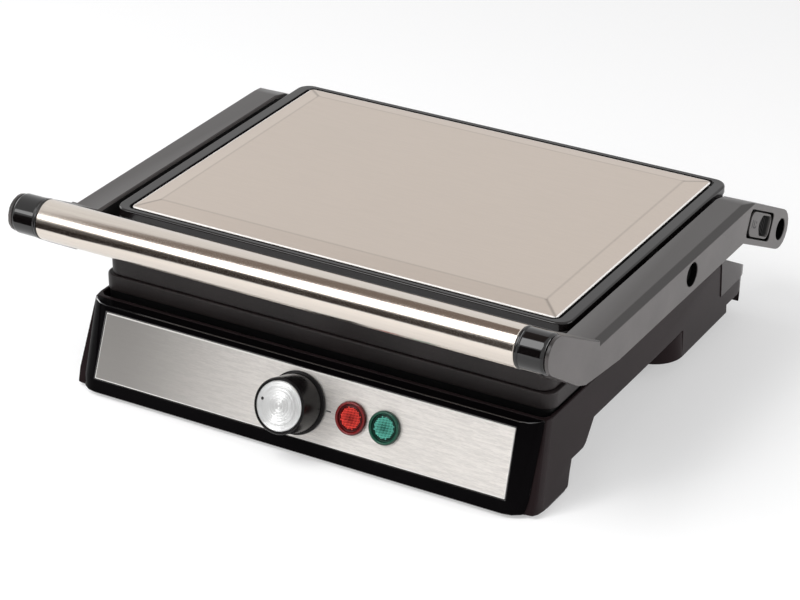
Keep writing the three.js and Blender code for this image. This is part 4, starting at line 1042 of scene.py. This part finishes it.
def slider():
    """Release slider: a grey tile, and behind it a scoop with grip ribs between two rims."""
    before, length, width, corner = 34.9, 34.9, 15.8, 5.6
    face, foot = SLIDER_HIGH.x / MM, SLIDER_LOW.x / MM
    depth, rim, reach, bow, clip = 4.0, 1.3, 18.5, 4.5, 1.2
    outline = [(along - before, across)
               for along, across in rounded_rect(length / 2, -width / 2, width / 2, corner)]
    body = lofted([(foot, outline), (face, outline)])
    bmesh.ops.transform(body, matrix=TO_EAR, verts=body.verts)
    tile = from_bmesh("slider_tile", body, SLIDER_GREY)
    rear = length / 2 - before - rim

    def scoop(inset):
        """Outline of the scoop: bowed beside the tile, straight with clipped corners behind."""
        half = width / 2 - rim - inset
        end = rear - inset
        shares = [i / 8 for i in range(-8, 9)]
        front = [(end - reach + 3 * inset + bow * share ** 2, share * half) for share in shares]
        return [*front, (end - clip, half), (end, half - clip), (end, clip - half),
                (end - clip, -half)]

    cut = lofted([(face - depth, scoop(1.1)), (face - depth * 0.6, scoop(0.6)),
                  (face, scoop(0.0)), (face + 1, scoop(0.0))])
    bmesh.ops.transform(cut, matrix=TO_EAR, verts=cut.verts)
    stand_for(carved(tile, from_bmesh("slider_cutter", cut, SLIDER_GREY), 0.22), "release_slider")
    rib_size, rib_rise, rib_step, ribs_back = (0.9, 11.5, 1.4), 0.6, 2.8, 11.5
    rib = bar("slider_ribs", rib_size, (0, 0, 0), Matrix.Identity(4), INNER_BLACK, 0.2)
    place = TO_EAR @ Matrix.Translation((0, 0, (face - depth + rib_rise) * MM))
    grown(rib, ROW, place, Count=4, First=((rear - ribs_back) * MM, 0, 0),
          Step=(rib_step * MM, 0, 0), Finish=INNER_BLACK)
    with_node(rib, "release_slider")
    # Plain strokes: their places along and across the ear, then their sizes along and across
    strokes = ((-48.6, 0.2, 1.1, 4.8), (-45.8, 0.0, 1.1, 4.8), (-44.4, -2.0, 2.4, 1.0),
               (-42.4, 1.4, 1.0, 1.6), (-42.4, -1.4, 1.0, 1.6))
    for i, (along, across, wide, tall) in enumerate(strokes):
        size = (wide, tall, 0.1)
        mark = bar(f"slider_mark_{i + 1}", size, (along, across, face), TO_EAR, MARK_BLACK, 0.03)
        with_node(mark, "release_slider")


def screws():
    """Heads with a cross recess under the bottom cover."""
    cross, blade, recess = 4.2, 0.9, 2.2
    for corner in CORNERS:
        node = "cover_screw_" + corner
        low, high, middle = span(node)
        foot, top = low.z / MM, high.z / MM
        profile = [
            (0, foot), (2.4, foot), (3.2, foot + 0.6), (3.6, foot + 1.3), (3.6, foot + 2),
            (1.8, foot + 2), (1.8, top - 0.6), (1.2, top), (0, top),
        ]
        lay = Matrix.Translation((middle.x, middle.y, 0))
        head = turned_piece("fine_" + node, profile, lay, SHEET_STEEL, sides=32)
        for size in ((cross, blade, recess), (blade, cross, recess)):
            head = carved(head, bar("slot", size, (0, 0, foot), lay, SHEET_STEEL, 0.02))
        stand_for(head, node)


def gland():
    """Ribbed strain relief round the cord's opening."""
    size, radius, count, back = (1.6, 0.8, 1.7), 6.2 * MM, 18, 1.1 * MM
    _, high, middle = span("cord_gland")
    rib = bar("gland_ribs", size, (0, 0, 0), Matrix.Identity(4), RUBBER, 0.15)
    face = (Matrix.Translation((middle.x, high.y - back, middle.z))
            @ Matrix.Rotation(pi / 2, 4, "X"))
    grown(rib, RING, face, Radius=radius, Count=count, Finish=RUBBER)
    with_node(rib, "cord_gland")


pins()
feet()
slider()
screws()
gland()

for finish, edge, *nodes in (
    (BASE_BROWN, 0.5, "base_housing"),
    (HOOD_DARK, 0.15, "rear_hood"),
    (ARM_GREY, 0.4, "left_arm", "right_arm"),
    (INNER_BLACK, 0.3, "left_arm_cover", "right_arm_cover"),
    (SHEET_STEEL, 0.5, "hinge_bracket_left", "hinge_bracket_right"),
    (SHEET_STEEL, 0.2, "bottom_cover"),
    (RUBBER, 0.3, "cord_gland"),
    (RUBBER, 0.5, "buffer_left", "buffer_right"),
):
    for node in nodes:
        dressed(node, finish, edge=edge)
# The panel's rounded edges get a painted highlight
dressed("control_panel", PANEL_STEEL, PAINTED_EDGE_HIGHLIGHT, edge=0.55)
dressed("front_fascia", GLOSS_BLACK, EDGE_BLACK, edge=0.35, steps=2)

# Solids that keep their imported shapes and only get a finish
for finish, *nodes in (
    (INNER_BLACK, "red_lamp_holder", "green_lamp_holder", "hinge_bush_left", "hinge_bush_right",
     "float_bush_left", "float_bush_right"),
    (SHEET_STEEL, "thermostat_bracket", "thermostat_shaft", "left_arm_core", "right_arm_core",
     "handle_rod"),
    (REFLECTOR, "lower_reflector", "upper_reflector"),
    (ELEMENT, "lower_heating_element", "upper_heating_element"),
    (CERAMIC, "thermostat_body", "terminal_block"),
):
    for node in nodes:
        mesh = frame["nodes"][node].data
        mesh.materials.clear()
        mesh.materials.append(finish)


# Studio
def sight(tree):
    """1 for what the camera sees, straight or in metal and glass."""
    rays = [tree.node("ShaderNodeLightPath", out=ray) for ray in (
        "Is Camera Ray", "Is Glossy Ray", "Is Transmission Ray")]
    return (rays[0] + rays[1] + rays[2]).least(1.0)


def studio_sheet(name, corners, finish):
    """A flat of four corners that belongs to the studio."""
    mesh = bpy.data.meshes.new(name)
    mesh.from_pydata(corners, [], [(0, 1, 2, 3)])
    sheet = link(name, mesh, finish)
    return sheet


def at_height(points, height):
    return [(x, y, height) for x, y in points]


def studio_floor():
    """Pale table that keeps the grill's shadow."""
    reach, tone, seen = 30.0, 0.64, 0.38
    finish = Finish("studio_floor")
    lit = finish.node("ShaderNodeBsdfDiffuse", {}, {"Color": (tone, tone, tone)})
    pale = finish.mixed(sight(finish), (0.0, 0.0, 0.0), (seen, seen, seen))
    glow = finish.node("ShaderNodeEmission", {}, {"Color": pale})
    both = finish.node("ShaderNodeAddShader", {}, {0: lit, 1: glow})
    finish.end("ShaderNodeOutputMaterial", both)
    square = ((-reach, -reach), (reach, -reach), (reach, reach), (-reach, reach))
    studio_sheet("studio_floor", at_height(square, 0), finish.material)


def studio_card(name, corners, tone):
    """A card of an even tone that only shows as a mirror image and casts no shadow."""
    finish = Finish(name)
    glow = finish.node("ShaderNodeEmission", {}, {"Color": tone})
    finish.end("ShaderNodeOutputMaterial", glow)
    card = studio_sheet(name, corners, finish.material)
    card.visible_camera = card.visible_diffuse = False
    card.visible_shadow = card.visible_transmission = False


def studio_world():
    """A pale room: white where it is seen, even and lower where it lights."""
    made = bpy.data.worlds.new("studio")
    bpy.context.scene.world = made
    made.use_nodes = True
    tree = Tree(made.node_tree)
    level = tree.mixed(sight(tree), (0.44, 0.44, 0.445), (1.0, 1.0, 1.0))
    tree.end("ShaderNodeOutputWorld", tree.node("ShaderNodeBackground", {}, {"Color": level}))


def lamp(name, place, aim, width, height, power, turn=0, mirrored=True):
    """A flat lamp in metres and watts, turned in its plane by an angle in degrees."""
    data = bpy.data.lights.new(name, "AREA")
    data.shape = "RECTANGLE"
    data.size = width
    data.size_y = height
    data.energy = power
    made = placed(name, data)
    made.location = place
    made.visible_glossy = mirrored
    aimed = (Vector(aim) - Vector(place)).to_track_quat("-Z", "Y").to_matrix()
    made.rotation_euler = (aimed @ Matrix.Rotation(radians(turn), 3, "Z")).to_euler()


def camera():
    """The photo's camera, as fitted."""
    turn, rise, roll = (radians(angle) for angle in (30.20, 27.44, -0.11))
    data = bpy.data.cameras.new("camera")
    data.lens = 128.5
    data.sensor_width = 36
    data.clip_start = 0.05
    data.clip_end = 60
    made = placed("camera", data)
    made.location = (0.782, -1.35705, 0.852)
    made.rotation_euler = (
        Matrix.Rotation(turn, 3, "Z") @ Matrix.Rotation(pi / 2 - rise, 3, "X")
        @ Matrix.Rotation(roll, 3, "Z")).to_euler()
    bpy.context.scene.camera = made


studio_floor()
studio_world()

# The long light hangs at an angle over the table, with a dark curtain under its far side and a
# brown card along its near side; a dark card lies on the table at the left
OVERHEAD = 1.1
ON_TABLE = 0.002
LONG_LIGHT = (-0.92, -1.38)
LONG_SIZE = (0.54, 2.4)
LONG_TURN = -45
GRILL = (0, 0, 0.08)
NEAR_END, FAR_END = (-0.2, -1.2), (-3.0, -4.1)
table_corners = ((-0.26, -0.34), (-0.72, -4), (-6, -4), (-6, -0.34))
brown_corners = ((0.15, 0.11), (-1.0, -1.04), (-0.5, 0.45), (0.15, 0.45))
curtain_corners = [*at_height((NEAR_END, FAR_END), 0), *at_height((FAR_END, NEAR_END), OVERHEAD)]
studio_card("table_card", at_height(table_corners, ON_TABLE), (0.03, 0.024, 0.022))
studio_card("curtain", curtain_corners, (0.05, 0.042, 0.038))
studio_card("brown_card", at_height(brown_corners, OVERHEAD), (0.24, 0.195, 0.17))
lamp("front_box", (*LONG_LIGHT, OVERHEAD + 0.02), (*LONG_LIGHT, 0), *LONG_SIZE, 18, LONG_TURN)
lamp("front_fill", (*LONG_LIGHT, OVERHEAD + 0.04), (*LONG_LIGHT, 0), *LONG_SIZE, 16, LONG_TURN,
     mirrored=False)
lamp("right_box", (1.7, 0.35, 0.55), GRILL, 1.2, 1.0, 17)
lamp("left_box", (-1.8, 0.2, 0.75), GRILL, 1.0, 1.0, 8)
camera()
bpy.context.scene.view_settings.view_transform = "Standard"
